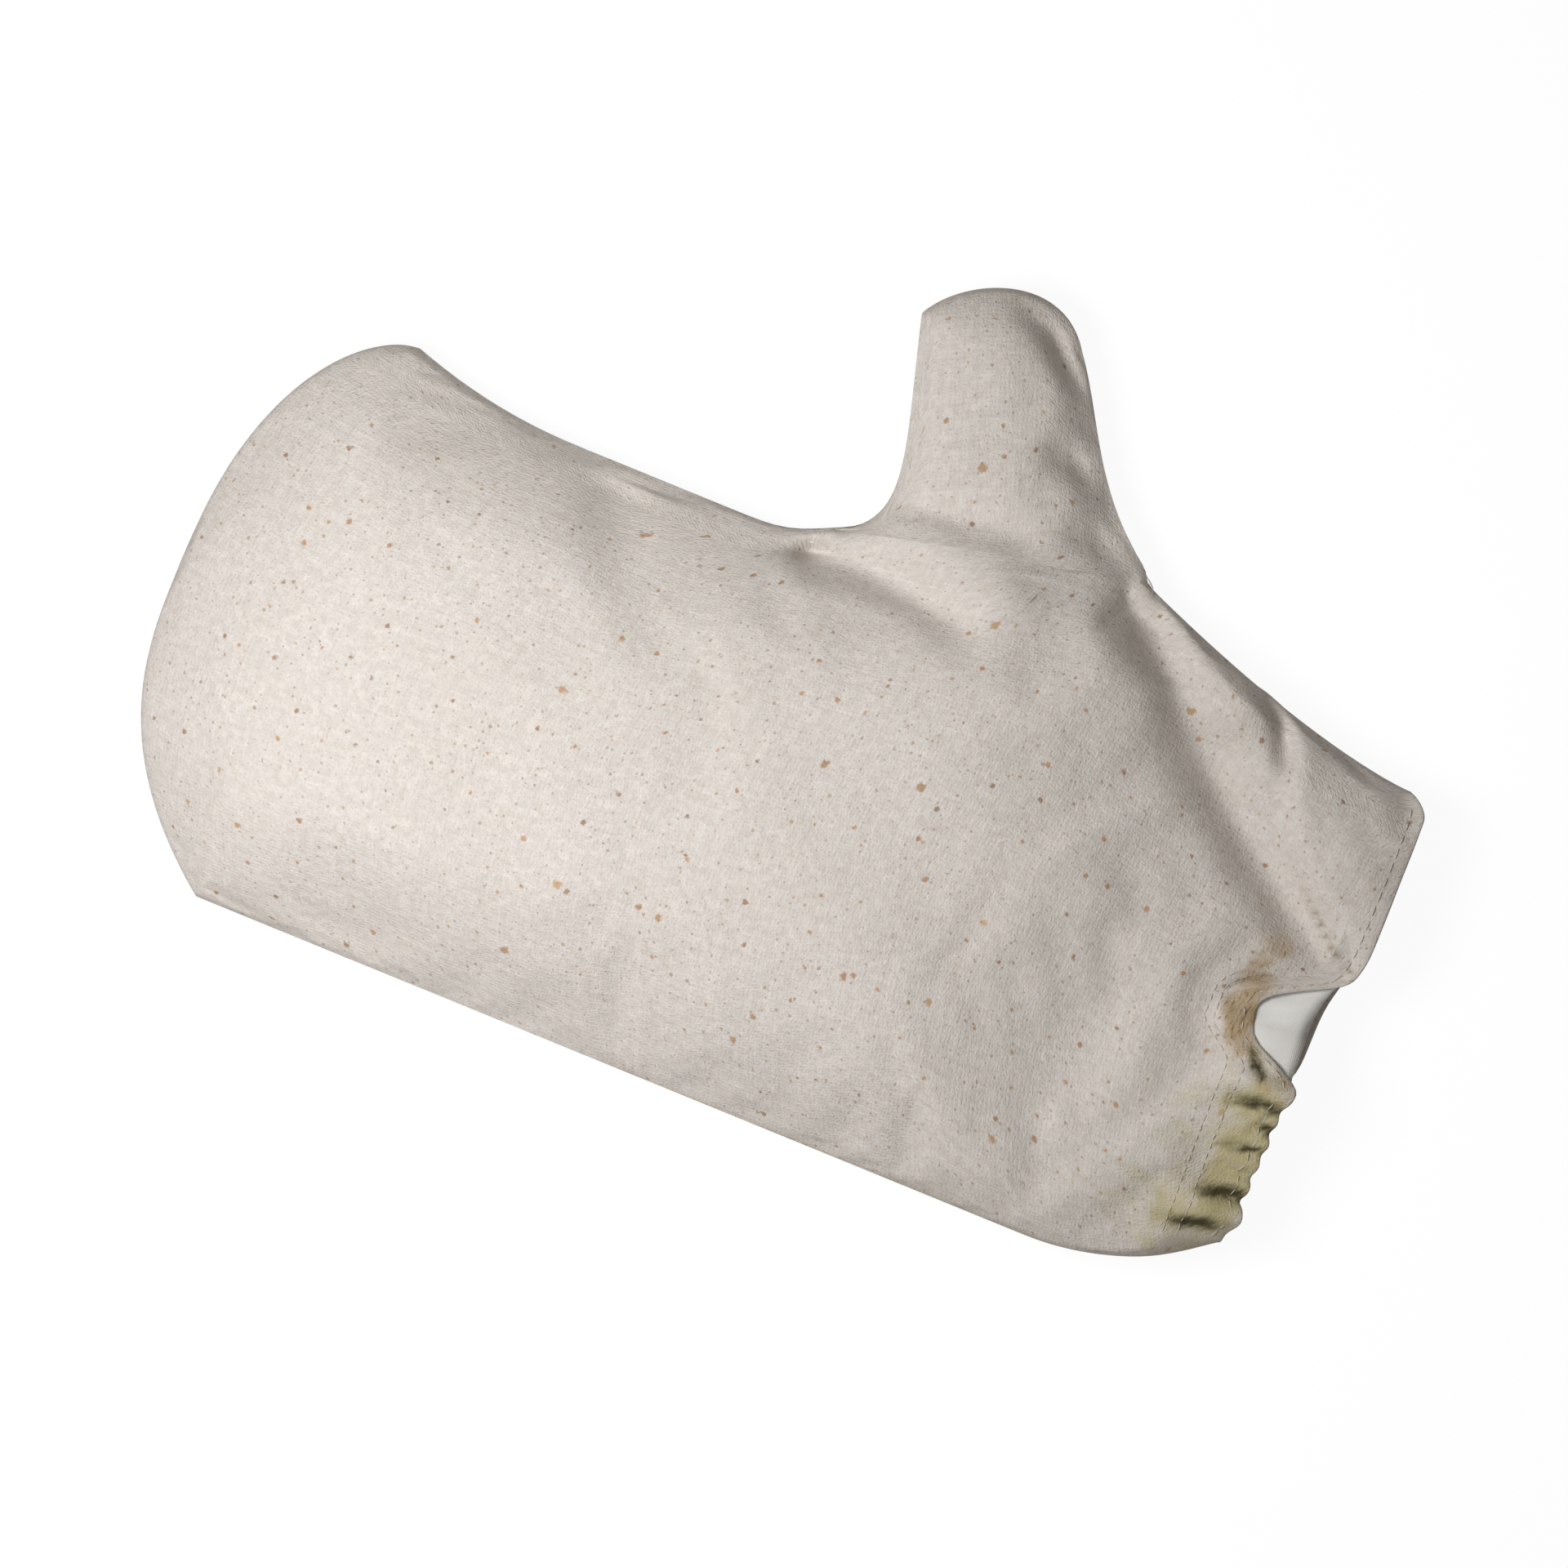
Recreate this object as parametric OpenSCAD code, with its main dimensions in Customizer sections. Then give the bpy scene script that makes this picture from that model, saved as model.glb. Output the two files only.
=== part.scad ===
// Herbal compress mitten: a lined cotton mitten with a herb pad over its palm and a gathered cuff.
// It lies on its back with the palm up. X runs from the fingertips to the cuff, Y towards the
// thumb and Z up. The origin is on the table, under the middle of the palm.
// Every ply is a slab between two surfaces of one family, each a set depth under the outer skin.

/* [Palm] */
// Length of the straight lower edge, from the fingertip corner to where the wrist draws in
edge_l = 222; // [200:1:245]
// Width across the palm
palm_w = 137.5; // [120:0.5:155]
// How far the fingertip end bows out beyond its corners
tip_bow = 34.5; // [24:0.5:44]
// How far the upper fingertip corner stands above the palm's upper edge
tip_flare = 7.5; // [2:0.5:10]

/* [Thumb] */
// Distance from the fingertip corner to the foot of the thumb on the finger side
root_x = 112; // [104:1:118]
// Width of the thumb at its foot
root_w = 78; // [70:1:84]
// Height of the thumb's tip above the palm's upper edge
thumb_l = 76; // [64:1:88]
// Width of the thumb across its tip
thumb_w = 40; // [34:1:46]
// How far the thumb's foot slopes up towards the wrist
root_slope = 16.5; // [12:0.5:20]

/* [Wrist and cuff] */
// Length of the wrist beyond the straight lower edge
cuff_run = 48.5; // [44:0.5:56]
// How far the elastic draws the lower edge up at the cuff
cuff_draw = 16.5; // [10:0.5:22]
// How far the elastic pulls the gathered part of the cuff edge back
cuff_pull = 3.5; // [2:0.5:7]
// Share of the cuff that the elastic gathers
gather_share = 0.58; // [0.5:0.01:0.66]
// Number of pleats in the gathered part
pleats = 7; // [5:1:8]
// Height of the pleats
pleat_h = 4; // [2.5:0.25:5]
// How far the pleats run out into the palm
pleat_run = 24; // [18:1:30]
// Width of the hem outside the elastic, which stands out as a frill
frill_w = 12; // [9:0.5:14]
// Width of the elastic
elastic_w = 6; // [4:0.5:8]
// Thickness of the elastic
elastic_t = 1; // [0.6:0.1:1.4]

/* [Fullness] */
// Height of the outline seam above the table
seam_h = 11; // [9:0.5:13]
// Rise of the palm side above the seam, round the hand
hand_rise = 13; // [10:0.5:17]
// Thickness of the herb filling
herb_t = 8; // [5:0.5:11]
// Distance over which the palm side rounds up from the seam
front_roll = 58; // [46:1:66]
// Distance over which the back side rounds down to the table
back_roll = 20; // [16:1:26]

/* [Cloth] */
// Thickness of the canvas
canvas_t = 1.2; // [0.8:0.1:1.6]
// Thickness of the lining
lining_t = 0.9; // [0.6:0.1:1.2]
// Thickness of the muslin of the herb pouch
muslin_t = 0.6; // [0.4:0.1:0.8]
// Air between two plies that lie on each other
ply_gap = 0.2; // [0.15:0.05:0.3]
// Distance of the herb pouch from the outline seam
pouch_inset = 11; // [9:0.5:16]
// Length of wrist that the herb pouch leaves free
pouch_stop = 58; // [50:1:70]
// Width of the pouch's sewn rim
rim_w = 4; // [3:0.5:6]

/* [Thread] */
// Thickness of the sewing thread
thread_d = 0.7; // [0.5:0.05:0.9]
// Length of one stitch
stitch_l = 3.6; // [2.5:0.1:4.5]
// Gap between two stitches
stitch_gap = 1.4; // [0.8:0.1:2]

/* [Hidden] */

canvas_colour = [0.85, 0.82, 0.77];
lining_colour = [0.93, 0.92, 0.90];
muslin_colour = [0.86, 0.83, 0.74];
herb_colour = [0.45, 0.45, 0.24];
thread_colour = [0.80, 0.74, 0.64];
elastic_colour = [0.95, 0.95, 0.94];

function mix(a, b, t) = a * (1 - t) + b * t;
function clamp01(t) = max(0, min(1, t));
function smooth(t) = let (c = clamp01(t)) c * c * (3 - 2 * c);
function flat(lists) = [for (l = lists) each l];
function bezier(p, t) =
    p[0] * pow(1 - t, 3) + p[1] * 3 * t * pow(1 - t, 2) + p[2] * 3 * t * t * (1 - t) + p[3] * pow(t, 3);

// Height of a rounded edge: 0 at the seam and 1 from s = 1 inwards
crown = 2.4;
function roll(s) = pow(1 - pow(1 - clamp01(s), crown), 1 / crown);

// --- Outline, measured from the fingertip corner of the lower edge ---

cuff_x = edge_l + cuff_run;        // the flat stretch of the cuff edge
middle = [(cuff_x - tip_bow) / 2, palm_w / 2];
flare_l = 45;                      // stretch over which the fingertip flare dies out
web_l = 16;                        // stretch of the web between palm and thumb
web_h = 5;                         // rise of the web
root = [root_x, palm_w + web_h];
heel = root + [root_w, root_slope];
wrist_y = palm_w - 1.3;            // the cuff's upper corner
corner_r = 5;                      // rounding of that corner

// Lower and upper edge of the palm over x
function lower_y(x) = cuff_draw * pow(max(0, (x - edge_l) / cuff_run), 2);
function upper_y(x) =
    x < flare_l ? palm_w + tip_flare * pow(1 - x / flare_l, 2)
    : x < root.x ? palm_w + web_h * pow(max(0, (x - root.x + web_l) / web_l), 2)
    : x < heel.x ? mix(root.y, heel.y, (x - root.x) / root_w)
    : wrist_y + (heel.y - wrist_y) * pow(max(0, (cuff_x - x) / (cuff_x - heel.x)), 1.45);

// How far the fingertip end bows out, over v from the lower to the upper corner
function tip_dx(v) =
    let (s = abs(2 * v - 1))
    -tip_bow * (v < 0.5 ? 1 - pow(s, 2.7) : pow(max(0, 1 - pow(s, 2.4)), 0.58));

// How far the cuff edge stands back from cuff_x, over v from its lower to its upper corner
function cuff_dx(v) =
    -cuff_pull * (1 - smooth((v - gather_share + 0.08) / 0.16)) - corner_r * pow(clamp01((v - 0.95) / 0.05), 2);

// How far a pleat pushes the frill's edge out, over v
pleat_out = 2;
function wave(v) = v > gather_share ? 0 : 0.5 - 0.5 * cos(360 * pleats * v / gather_share);
function frill_dx(u, v) = pleat_out * wave(v) * smooth(1 - (1 - u) * cuff_x / frill_w);

// The palm: its four edges stretched into a patch, u along it and v across it
function palm(u, v) =
    [u * cuff_x + (1 - u) * tip_dx(v) + u * cuff_dx(v) + frill_dx(u, v),
     mix(lower_y(u * cuff_x), upper_y(u * cuff_x), v)];

// The thumb: a patch between its foot, its two sides and its tip, k across it and l along it
tip_a = [root.x - 1.5, palm_w + thumb_l - 14];
tip_b = [tip_a.x + thumb_w, tip_a.y + 6];
inner_side = [root, root + [15, 9], root + [8, 22], tip_a];
outer_side = [heel, heel + [-23, 13], tip_b + [11, -14], tip_b];
thumb_end = [tip_a, tip_a + [6, 12], tip_b + [-11, 17], tip_b];
function thumb(k, l) =
    mix(bezier(inner_side, l), bezier(outer_side, l), k) + mix(mix(root, heel, k), bezier(thumb_end, k), l)
    - mix(mix(root, heel, k), mix(tip_a, tip_b, k), l);

// The same patches drawn in from the seam by d, for what lies inside
function palm_in(u, v, d) = palm(mix(d / (cuff_x + tip_bow), 1, u), mix(d, palm_w - d, v) / palm_w);
function thumb_in(k, l, d) = thumb(mix(d, thumb_w - d, k) / thumb_w, l * (1 - d / thumb_l));

// Distance from the outline seam, which runs all round but for the open cuff
steps = 16;
seam_line = concat(
    [for (i = [0:steps]) palm(1 - i / steps, 0)],
    [for (j = [1:steps]) palm(0, j / steps)],
    [for (i = [1:steps]) palm(i / steps * root.x / cuff_x, 1)],
    [for (j = [1:steps]) thumb(0, j / steps)],
    [for (i = [1:steps]) thumb(i / steps, 1)],
    [for (j = [1:steps]) thumb(1, 1 - j / steps)],
    [for (i = [1:steps]) palm(mix(heel.x / cuff_x, 1, i / steps), 1)]);
function foot_on(p, a, b) = a + (b - a) * clamp01((p - a) * (b - a) / ((b - a) * (b - a)));
function from_seam(p) =
    min([for (i = [0:len(seam_line) - 2]) norm(p - foot_on(p, seam_line[i], seam_line[i + 1]))]);

// --- Heights ---

// Soft folds of the palm side: where each starts and ends, its width, and its height (below 0 for a valley)
folds = [
    [heel + [-6, -7], [cuff_x - 4, gather_share * palm_w + 8], 10, -7.5],   // heel of the thumb to the elastic
    [heel + [8, 0], heel + [50, -38], 9, 3],                                // swelling beside it
    [root + [-8, -6], root + [42, -13], 7.5, -4.5],                         // under the web
    [root + [6, 4], root + [56, 0], 8.5, 2.5],                              // swelling over it
    [[0.26 * edge_l, palm_w], [0.37 * edge_l, palm_w - 38], 9, -3]];        // dent from the upper edge
function fold(p, f) =
    let (q = foot_on(p, f[0], f[1])) f[3] * exp(-pow(norm(p - q) / f[2], 2));
function relief(p, i = 0) = i == len(folds) ? 0 : fold(p, folds[i]) + relief(p, i + 1);

// The thumb lies turned, so its outer side falls away. Share of the height that is lost there
function lean(p) =
    let (from_tip = tip_b.y - p.y)
    0.6 * smooth((p.x - tip_a.x - 11 - 0.36 * from_tip) / 26) * smooth((p.y - root.y - 6) / 24);

// The palm side and the back, d under their outer skins. Both meet the table-parallel seam plane.
function palm_z(p, d) =
    let (s = from_seam(p))
    seam_h + (hand_rise * (1 - lean(p)) - d) * roll((s - d) / (front_roll - d)) + relief(p) * smooth(s / 15);
function back_z(p, d) = seam_h - (seam_h - d) * roll((from_seam(p) - d) / (back_roll - d));

// The pleats: full at the elastic and running out into the palm
gather_u = 1 - (pleat_run + frill_w) / cuff_x;
function pleat(u, v) =
    pleat_h * wave(v) * smooth((u - gather_u) * cuff_x / pleat_run)
    * smooth(3 * v / gather_share + 0.3) * smooth(3 - 3 * v / gather_share + 0.3);

// The herb pouch lies between the canvas and the lining of the palm. e is the distance inside its rim.
pouch_us = [pouch_inset / cuff_x, 1 - pouch_stop / cuff_x];
pouch_vs = [pouch_inset / palm_w, 1 - pouch_inset / palm_w];
rim_h = 1;                         // thickness of the filling at the sewn rim
fill_run = 21;                     // stretch over which the filling comes up to its thickness
pouch_plies = 2 * muslin_t + ply_gap;
wrist_taper = 0.5;                 // the filling thins more slowly towards the wrist
function in_pouch(u, v) =
    min((u - pouch_us[0]) * cuff_x, (pouch_us[1] - u) * cuff_x * wrist_taper,
        (v - pouch_vs[0]) * palm_w, (pouch_vs[1] - v) * palm_w);
function filling(e) = rim_h * clamp01(e / rim_w) + (herb_t - rim_h) * sin(90 * clamp01((e - rim_w) / fill_run));
// How far the pouch lifts the canvas, which reaches a little past the pouch all round
slack = 3;
function lift(u, v) =
    let (e = in_pouch(u, v)) pouch_plies * smooth((e + 3 * slack) / (2 * slack)) + filling(e + slack);

// --- The grid: columns over u and rows over v, closer where the cloth turns or is pleated ---

// Lines at these distances inside the pouch's edge follow the edge of the filling
cover = [-slack, 0, rim_w, rim_w + 5, rim_w + 12, rim_w + fill_run];
function between(a, b, n) = [for (i = [1:n]) mix(a, b, i / (n + 1))];
function back(list) = [for (i = [len(list) - 1:-1:0]) list[i]];

root_u = root.x / cuff_x;
heel_u = heel.x / cuff_x;
foot_ks = [0, 0.03, 0.12, 0.25, 0.4, 0.55, 0.7, 0.86, 0.97, 1];
foot_us = [for (k = foot_ks) mix(root_u, heel_u, k)];
foot_n = len(foot_ks);
ls = [0.12, 0.3, 0.5, 0.7, 0.85, 0.94, 0.985, 1];
gather_n = 6;

tip_us = [for (e = cover) pouch_us[0] + e / cuff_x];
hand_us = concat([0, 0.004, 0.014], tip_us, between(tip_us[len(cover) - 1], root_u, 2));
wrist_us = [for (e = back(cover))
    let (u = pouch_us[1] - e / cuff_x / wrist_taper) if (u > heel_u + 0.008 && u < gather_u - 0.008) u];
front_us = concat(hand_us, foot_us, wrist_us, [for (i = [0:gather_n]) mix(gather_u, 1, i / gather_n)]);
back_hand_us = [0, 0.004, 0.014, 0.032, 0.055, 0.085, 0.13, 0.19, 0.26, 0.34];
back_us = concat(back_hand_us, foot_us, [for (t = [0.25:0.25:1]) mix(heel_u, 1, t)]);

low_vs = [for (e = cover) pouch_vs[0] + e / palm_w];
high_vs = [for (e = back(cover)) pouch_vs[1] - e / palm_w];
plain_rows = concat([0, 0.006, 0.02, 0.04], low_vs, between(low_vs[len(cover) - 1], high_vs[0], 3), high_vs,
                    [0.97, 0.992, 1]);
pleat_n = 4;                       // rows to one pleat
pleat_v = gather_share / pleats;
fine_rows = concat([0, 0.006], [for (j = [1:pleats * pleat_n]) j * pleat_v / pleat_n],
                   [0.69, 0.79, 0.87, 0.93, 0.97, 0.992, 1]);
// The pouch has the canvas's own lines between its edges, so that no ply cuts another
function inside(list, ends) =
    concat([ends[0]], [for (t = list) if (t > ends[0] + 0.002 && t < ends[1] - 0.002) t], [ends[1]]);
pouch_cols = inside(front_us, pouch_us);
pouch_rows = inside(plain_rows, pouch_vs);

back_rows = [0, 0.006, 0.02, 0.05, 0.095, 0.146, 0.3, 0.5, 0.7, 0.854, 0.905, 0.95, 0.98, 0.994, 1];

// --- Slabs between an upper and a lower surface ---

// tris: the triangles of one surface, anticlockwise from above. rim: their edge, anticlockwise.
module slab(upper, lower, tris, rim) {
    n = len(upper);
    top = [for (t = tris) [t[2], t[1], t[0]]];
    bottom = [for (t = tris) [t[0] + n, t[1] + n, t[2] + n]];
    wall = flat([for (i = [0:len(rim) - 1])
        let (a = rim[i], b = rim[(i + 1) % len(rim)]) [[a, b, b + n], [a, b + n, a + n]]]);
    polyhedron(concat(upper, lower), concat(top, bottom, wall));
}

// The strip between two neighbouring columns of points, whose first points are a and b, each with its rows
function strip(a, b, rows_a, rows_b, i = 0, j = 0) =
    let (more_a = i < len(rows_a) - 1, more_b = j < len(rows_b) - 1)
    !more_a && !more_b ? []
    : more_a && (!more_b || rows_a[i + 1] < rows_b[j + 1])
        ? concat([[a + i, b + j, a + i + 1]], strip(a, b, rows_a, rows_b, i + 1, j))
        : concat([[a + i, b + j, b + j + 1]], strip(a, b, rows_a, rows_b, i, j + 1));

// A slab over the palm and the thumb. The last columns, over the gathers, have their own rows.
module mitten_slab(us, foot_i, rows, cuff_rows, upper_d, lower_d, height) {
    m = len(rows);
    last = len(us) - 1;
    gather_i = last - gather_n;
    rows_of = function (i) i < gather_i ? rows : cuff_rows;
    first = function (i) i <= gather_i ? i * m : gather_i * m + (i - gather_i) * len(cuff_rows);
    end = function (i) first(i + 1) - 1;
    on = function (k, l) l == 0 ? end(foot_i + k) : first(last + 1) + (l - 1) * foot_n + k;
    top = len(ls);
    tris = concat(
        flat([for (i = [0:last - 1]) strip(first(i), first(i + 1), rows_of(i), rows_of(i + 1))]),
        flat([for (l = [0:top - 1]) for (k = [0:foot_n - 2])
            [[on(k, l), on(k + 1, l), on(k + 1, l + 1)], [on(k, l), on(k + 1, l + 1), on(k, l + 1)]]]));
    rim = concat(
        [for (i = [0:last]) first(i)],
        [for (j = [1:len(cuff_rows) - 1]) first(last) + j],
        [for (i = [last - 1:-1:foot_i + foot_n - 1]) end(i)],
        [for (l = [1:top]) on(foot_n - 1, l)],
        [for (k = [foot_n - 2:-1:0]) on(k, top)],
        [for (l = [top - 1:-1:1]) on(0, l)],
        [for (i = [foot_i:-1:0]) end(i)],
        [for (j = [m - 2:-1:1]) j]);
    // At the outline every ply ends in the seam plane
    at = function (p, u, v, d, sewn) [p.x - middle.x, p.y - middle.y, sewn ? seam_h : height(p, u, v, d)];
    foot_from = us[foot_i];
    foot_to = us[foot_i + foot_n - 1];
    level = function (d) concat(
        [for (i = [0:last]) for (v = rows_of(i))
            let (u = us[i], sewn = u == 0 || v == 0 || (v == 1 && (u <= foot_from || u >= foot_to)))
            at(palm_in(u, v, d), u, v, d, sewn)],
        [for (l = ls) for (k = foot_ks) at(thumb_in(k, l, d), 0, 1, d, k == 0 || k == 1 || l == 1)]);
    slab(level(upper_d), level(lower_d), tris, rim);
}

// A slab over a rectangle of the palm patch, its columns and rows given as u and v, drawn in from the seam by d
module palm_slab(cols, rows, d, upper, lower) {
    m = len(rows);
    n = len(cols);
    tris = flat([for (i = [0:n - 2]) strip(i * m, (i + 1) * m, rows, rows)]);
    rim = concat([for (i = [0:n - 1]) i * m], [for (j = [1:m - 1]) (n - 1) * m + j],
                 [for (i = [n - 2:-1:0]) i * m + m - 1], [for (j = [m - 2:-1:1]) j]);
    level = function (height)
        [for (u = cols) for (v = rows) let (p = palm_in(u, v, d)) concat(p - middle, height(p, u, v))];
    slab(level(upper), level(lower), tris, rim);
}

// --- Plies ---

lining_d = canvas_t + ply_gap;
inside_d = lining_d + lining_t;

// The canvas of the palm side, lifted by the pouch and pleated at the cuff
module front_canvas() {
    color(canvas_colour)
        mitten_slab(front_us, len(hand_us), plain_rows, fine_rows, 0, canvas_t,
            function (p, u, v, d) palm_z(p, d) + lift(u, v) + pleat(u, v));
}

module back_canvas() {
    color(canvas_colour)
        mitten_slab(back_us, len(back_hand_us), back_rows, back_rows, canvas_t, 0,
            function (p, u, v, d) back_z(p, d));
}

module front_lining() {
    color(lining_colour)
        mitten_slab(front_us, len(hand_us), plain_rows, fine_rows, lining_d, inside_d,
            function (p, u, v, d) palm_z(p, d) + pleat(u, v));
}

module back_lining() {
    color(lining_colour)
        mitten_slab(back_us, len(back_hand_us), back_rows, back_rows, inside_d, lining_d,
            function (p, u, v, d) back_z(p, d));
}

// The elastic lies flat under the pleats, on the hand side of the lining
elastic_us = [1 - (frill_w + elastic_w) / cuff_x, 1 - frill_w / cuff_x];
elastic_vs = [0.05, gather_share];
module wrist_elastic() {
    top_d = inside_d + ply_gap;
    color(elastic_colour)
        palm_slab([for (i = [0:2]) mix(elastic_us[0], elastic_us[1], i / 2)],
            [for (j = [0:12]) mix(elastic_vs[0], elastic_vs[1], j / 12)], 0,
            function (p, u, v) palm_z(p, top_d),
            function (p, u, v) palm_z(p, top_d) - elastic_t);
}

// The pouch: two muslin sheets sewn together round the filling
pouch_l = (pouch_us[1] - pouch_us[0]) * cuff_x;
pouch_w = (pouch_vs[1] - pouch_vs[0]) * palm_w;
function pouch_z(p, plies) = palm_z(p, lining_d) + ply_gap + plies * muslin_t;

module pouch_back() {
    color(muslin_colour)
        palm_slab(pouch_cols, pouch_rows, lining_d,
            function (p, u, v) pouch_z(p, 1),
            function (p, u, v) pouch_z(p, 0));
}

module pouch_front() {
    color(muslin_colour)
        palm_slab(pouch_cols, pouch_rows, lining_d,
            function (p, u, v) pouch_z(p, 2) + filling(in_pouch(u, v)),
            function (p, u, v) pouch_z(p, 1) + filling(in_pouch(u, v)));
}

module herb_filling() {
    inner = function (list) [for (i = [1:len(list) - 2]) list[i]];
    color(herb_colour)
        palm_slab(inner(pouch_cols), inner(pouch_rows), lining_d,
            function (p, u, v) pouch_z(p, 1) + filling(in_pouch(u, v)),
            function (p, u, v) pouch_z(p, 1));
}

// --- Sewing ---

// One stitch from a to b
module stitch(a, b) {
    d = b - a;
    translate((a + b) / 2)
        rotate([0, -asin(d.z / norm(d)), atan2(d.y, d.x)])
            cube([norm(d), thread_d, thread_d], center = true);
}

// A row of stitches along path, a function of 0 to 1 that runs over a given length
module stitches(path, length) {
    n = round(length / (stitch_l + stitch_gap));
    for (i = [0:n - 1])
        stitch(path((i + 0.2) / n), path((i + 0.2 + stitch_l / (stitch_l + stitch_gap)) / n));
}

// A point of the outline, from one cuff corner at t = 0 to the other at t = 1
seam_steps = [for (i = [1:len(seam_line) - 1]) norm(seam_line[i] - seam_line[i - 1])];
function sum_to(list, n, i = 0) = i >= n ? 0 : list[i] + sum_to(list, n, i + 1);
seam_at = [for (i = [0:len(seam_steps)]) sum_to(seam_steps, i)];
seam_l = seam_at[len(seam_steps)];
function on_seam(t) = [lookup(t, [for (i = [0:len(seam_at) - 1]) [seam_at[i] / seam_l, seam_line[i].x]]),
                       lookup(t, [for (i = [0:len(seam_at) - 1]) [seam_at[i] / seam_l, seam_line[i].y]])];

module outline_seam_thread() {
    color(thread_colour)
        stitches(function (t) concat(on_seam(mix(0.002, 0.998, t)) - middle, seam_h), seam_l);
}

module pouch_seam_thread() {
    side = function (u0, v0, u1, v1) function (t)
        let (u = mix(u0, u1, t), v = mix(v0, v1, t), p = palm_in(u, v, lining_d))
        concat(p - middle, pouch_z(p, 1.5) + filling(in_pouch(u, v)));
    e = [rim_w / 2 / cuff_x, rim_w / 2 / palm_w];
    a = [pouch_us[0] + e[0], pouch_vs[0] + e[1]];
    b = [pouch_us[1] - e[0], pouch_vs[1] - e[1]];
    color(thread_colour) {
        stitches(side(a[0], a[1], b[0], a[1]), pouch_l);
        stitches(side(b[0], a[1], b[0], b[1]), pouch_w);
        stitches(side(b[0], b[1], a[0], b[1]), pouch_l);
        stitches(side(a[0], b[1], a[0], a[1]), pouch_w);
    }
}

// A row across the cuff at a distance from its edge, on the skin of the palm side
function across(run, v0, v1) = function (t)
    let (u = 1 - run / cuff_x, v = mix(v0, v1, t), p = palm(u, v))
    concat(p - middle, palm_z(p, 0) + pleat(u, v));

hem_run = 3;                       // distance of the hem stitches from the cuff edge
module front_hem_thread() {
    color(thread_colour)
        stitches(across(hem_run, 0.03, 0.97), 0.94 * (palm_w - cuff_draw));
}

module back_hem_thread() {
    color(thread_colour)
        stitches(function (t) concat(palm(1 - hem_run / cuff_x, mix(0.16, 0.84, t)) - middle, thread_d / 2),
            0.68 * (palm_w - cuff_draw));
}

module elastic_thread() {
    color(thread_colour)
        for (run = [frill_w + 1, frill_w + elastic_w - 1])
            stitches(across(run, elastic_vs[0], elastic_vs[1]),
                (elastic_vs[1] - elastic_vs[0]) * (palm_w - cuff_draw));
}

front_canvas();
back_canvas();
front_lining();
back_lining();
wrist_elastic();
pouch_front();
pouch_back();
herb_filling();
outline_seam_thread();
pouch_seam_thread();
front_hem_thread();
back_hem_thread();
elastic_thread();
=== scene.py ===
# %% [markdown]
# # Herbal compress mitten
# A mitten of undyed cotton canvas lies palm up on a white table. It has a white lining, a thin pad of herbs
# between canvas and lining over the palm, and a cuff whose lower part an elastic gathers.
# The CAD model is the frame: the looks are built round it, in the same place and at the same size.

# %% Load the frame
import math

import bpy
import numpy as np
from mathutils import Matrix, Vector
from mathutils.bvhtree import BVHTree


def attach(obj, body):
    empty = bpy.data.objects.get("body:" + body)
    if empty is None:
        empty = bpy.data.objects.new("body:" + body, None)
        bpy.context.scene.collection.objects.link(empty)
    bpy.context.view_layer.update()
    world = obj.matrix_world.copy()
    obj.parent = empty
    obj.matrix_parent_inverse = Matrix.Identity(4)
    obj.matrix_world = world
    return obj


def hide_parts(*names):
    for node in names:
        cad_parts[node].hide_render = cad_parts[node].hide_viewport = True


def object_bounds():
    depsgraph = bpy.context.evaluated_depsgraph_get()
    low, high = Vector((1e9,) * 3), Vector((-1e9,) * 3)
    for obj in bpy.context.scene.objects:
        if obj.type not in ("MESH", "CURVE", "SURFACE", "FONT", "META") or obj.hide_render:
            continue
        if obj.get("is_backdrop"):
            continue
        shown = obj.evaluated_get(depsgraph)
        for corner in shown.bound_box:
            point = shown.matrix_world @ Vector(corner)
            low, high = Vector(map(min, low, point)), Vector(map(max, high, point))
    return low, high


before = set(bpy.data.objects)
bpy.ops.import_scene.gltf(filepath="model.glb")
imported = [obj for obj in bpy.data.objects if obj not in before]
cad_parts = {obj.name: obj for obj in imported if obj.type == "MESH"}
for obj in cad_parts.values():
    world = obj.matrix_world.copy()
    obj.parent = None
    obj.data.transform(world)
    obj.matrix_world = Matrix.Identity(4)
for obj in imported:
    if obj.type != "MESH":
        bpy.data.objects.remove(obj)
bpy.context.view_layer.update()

# %% [markdown]
# ## Sizes
# All shapes are worked out in millimetres and turned into metres when a mesh is made. These are the driving
# sizes of the mitten. They could be read off the CAD nodes, but then no curve could be made finer than the
# CAD triangles. The same formulas on a finer grid keep the piece in the CAD model's space and smooth.

# %% Driving sizes, in millimetres
PALM_W, EDGE_L, CUFF_RUN, TIP_BOW, TIP_FLARE = 137.5, 222.0, 48.5, 34.5, 7.5
ROOT_X, ROOT_W, ROOT_SLOPE, THUMB_L, THUMB_W = 112.0, 78.0, 16.5, 76.0, 40.0
CUFF_DRAW, CUFF_PULL, GATHER, FRILL = 16.5, 3.5, 0.58, 12.0
SEAM_H, HAND_RISE, HERB_T = 11.0, 13.0, 8.0
FRONT_ROLL, BACK_ROLL = 58.0, 20.0
CANVAS_T, LINING_T, PLY_GAP, MUSLIN_T = 1.2, 0.9, 0.2, 0.6
INSET, STOP, PAD = 11.0, 58.0, HERB_T - 0.6
CUFF_X = EDGE_L + CUFF_RUN
MIDDLE = np.array([(CUFF_X - TIP_BOW) / 2, PALM_W / 2])
WEB_RISE, WEB_RUN, FLARE_RUN, WRIST_DROP = 5.0, 16.0, 45.0, 1.3
ROOT = np.array([ROOT_X, PALM_W + WEB_RISE])
HEEL = ROOT + [ROOT_W, ROOT_SLOPE]
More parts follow.
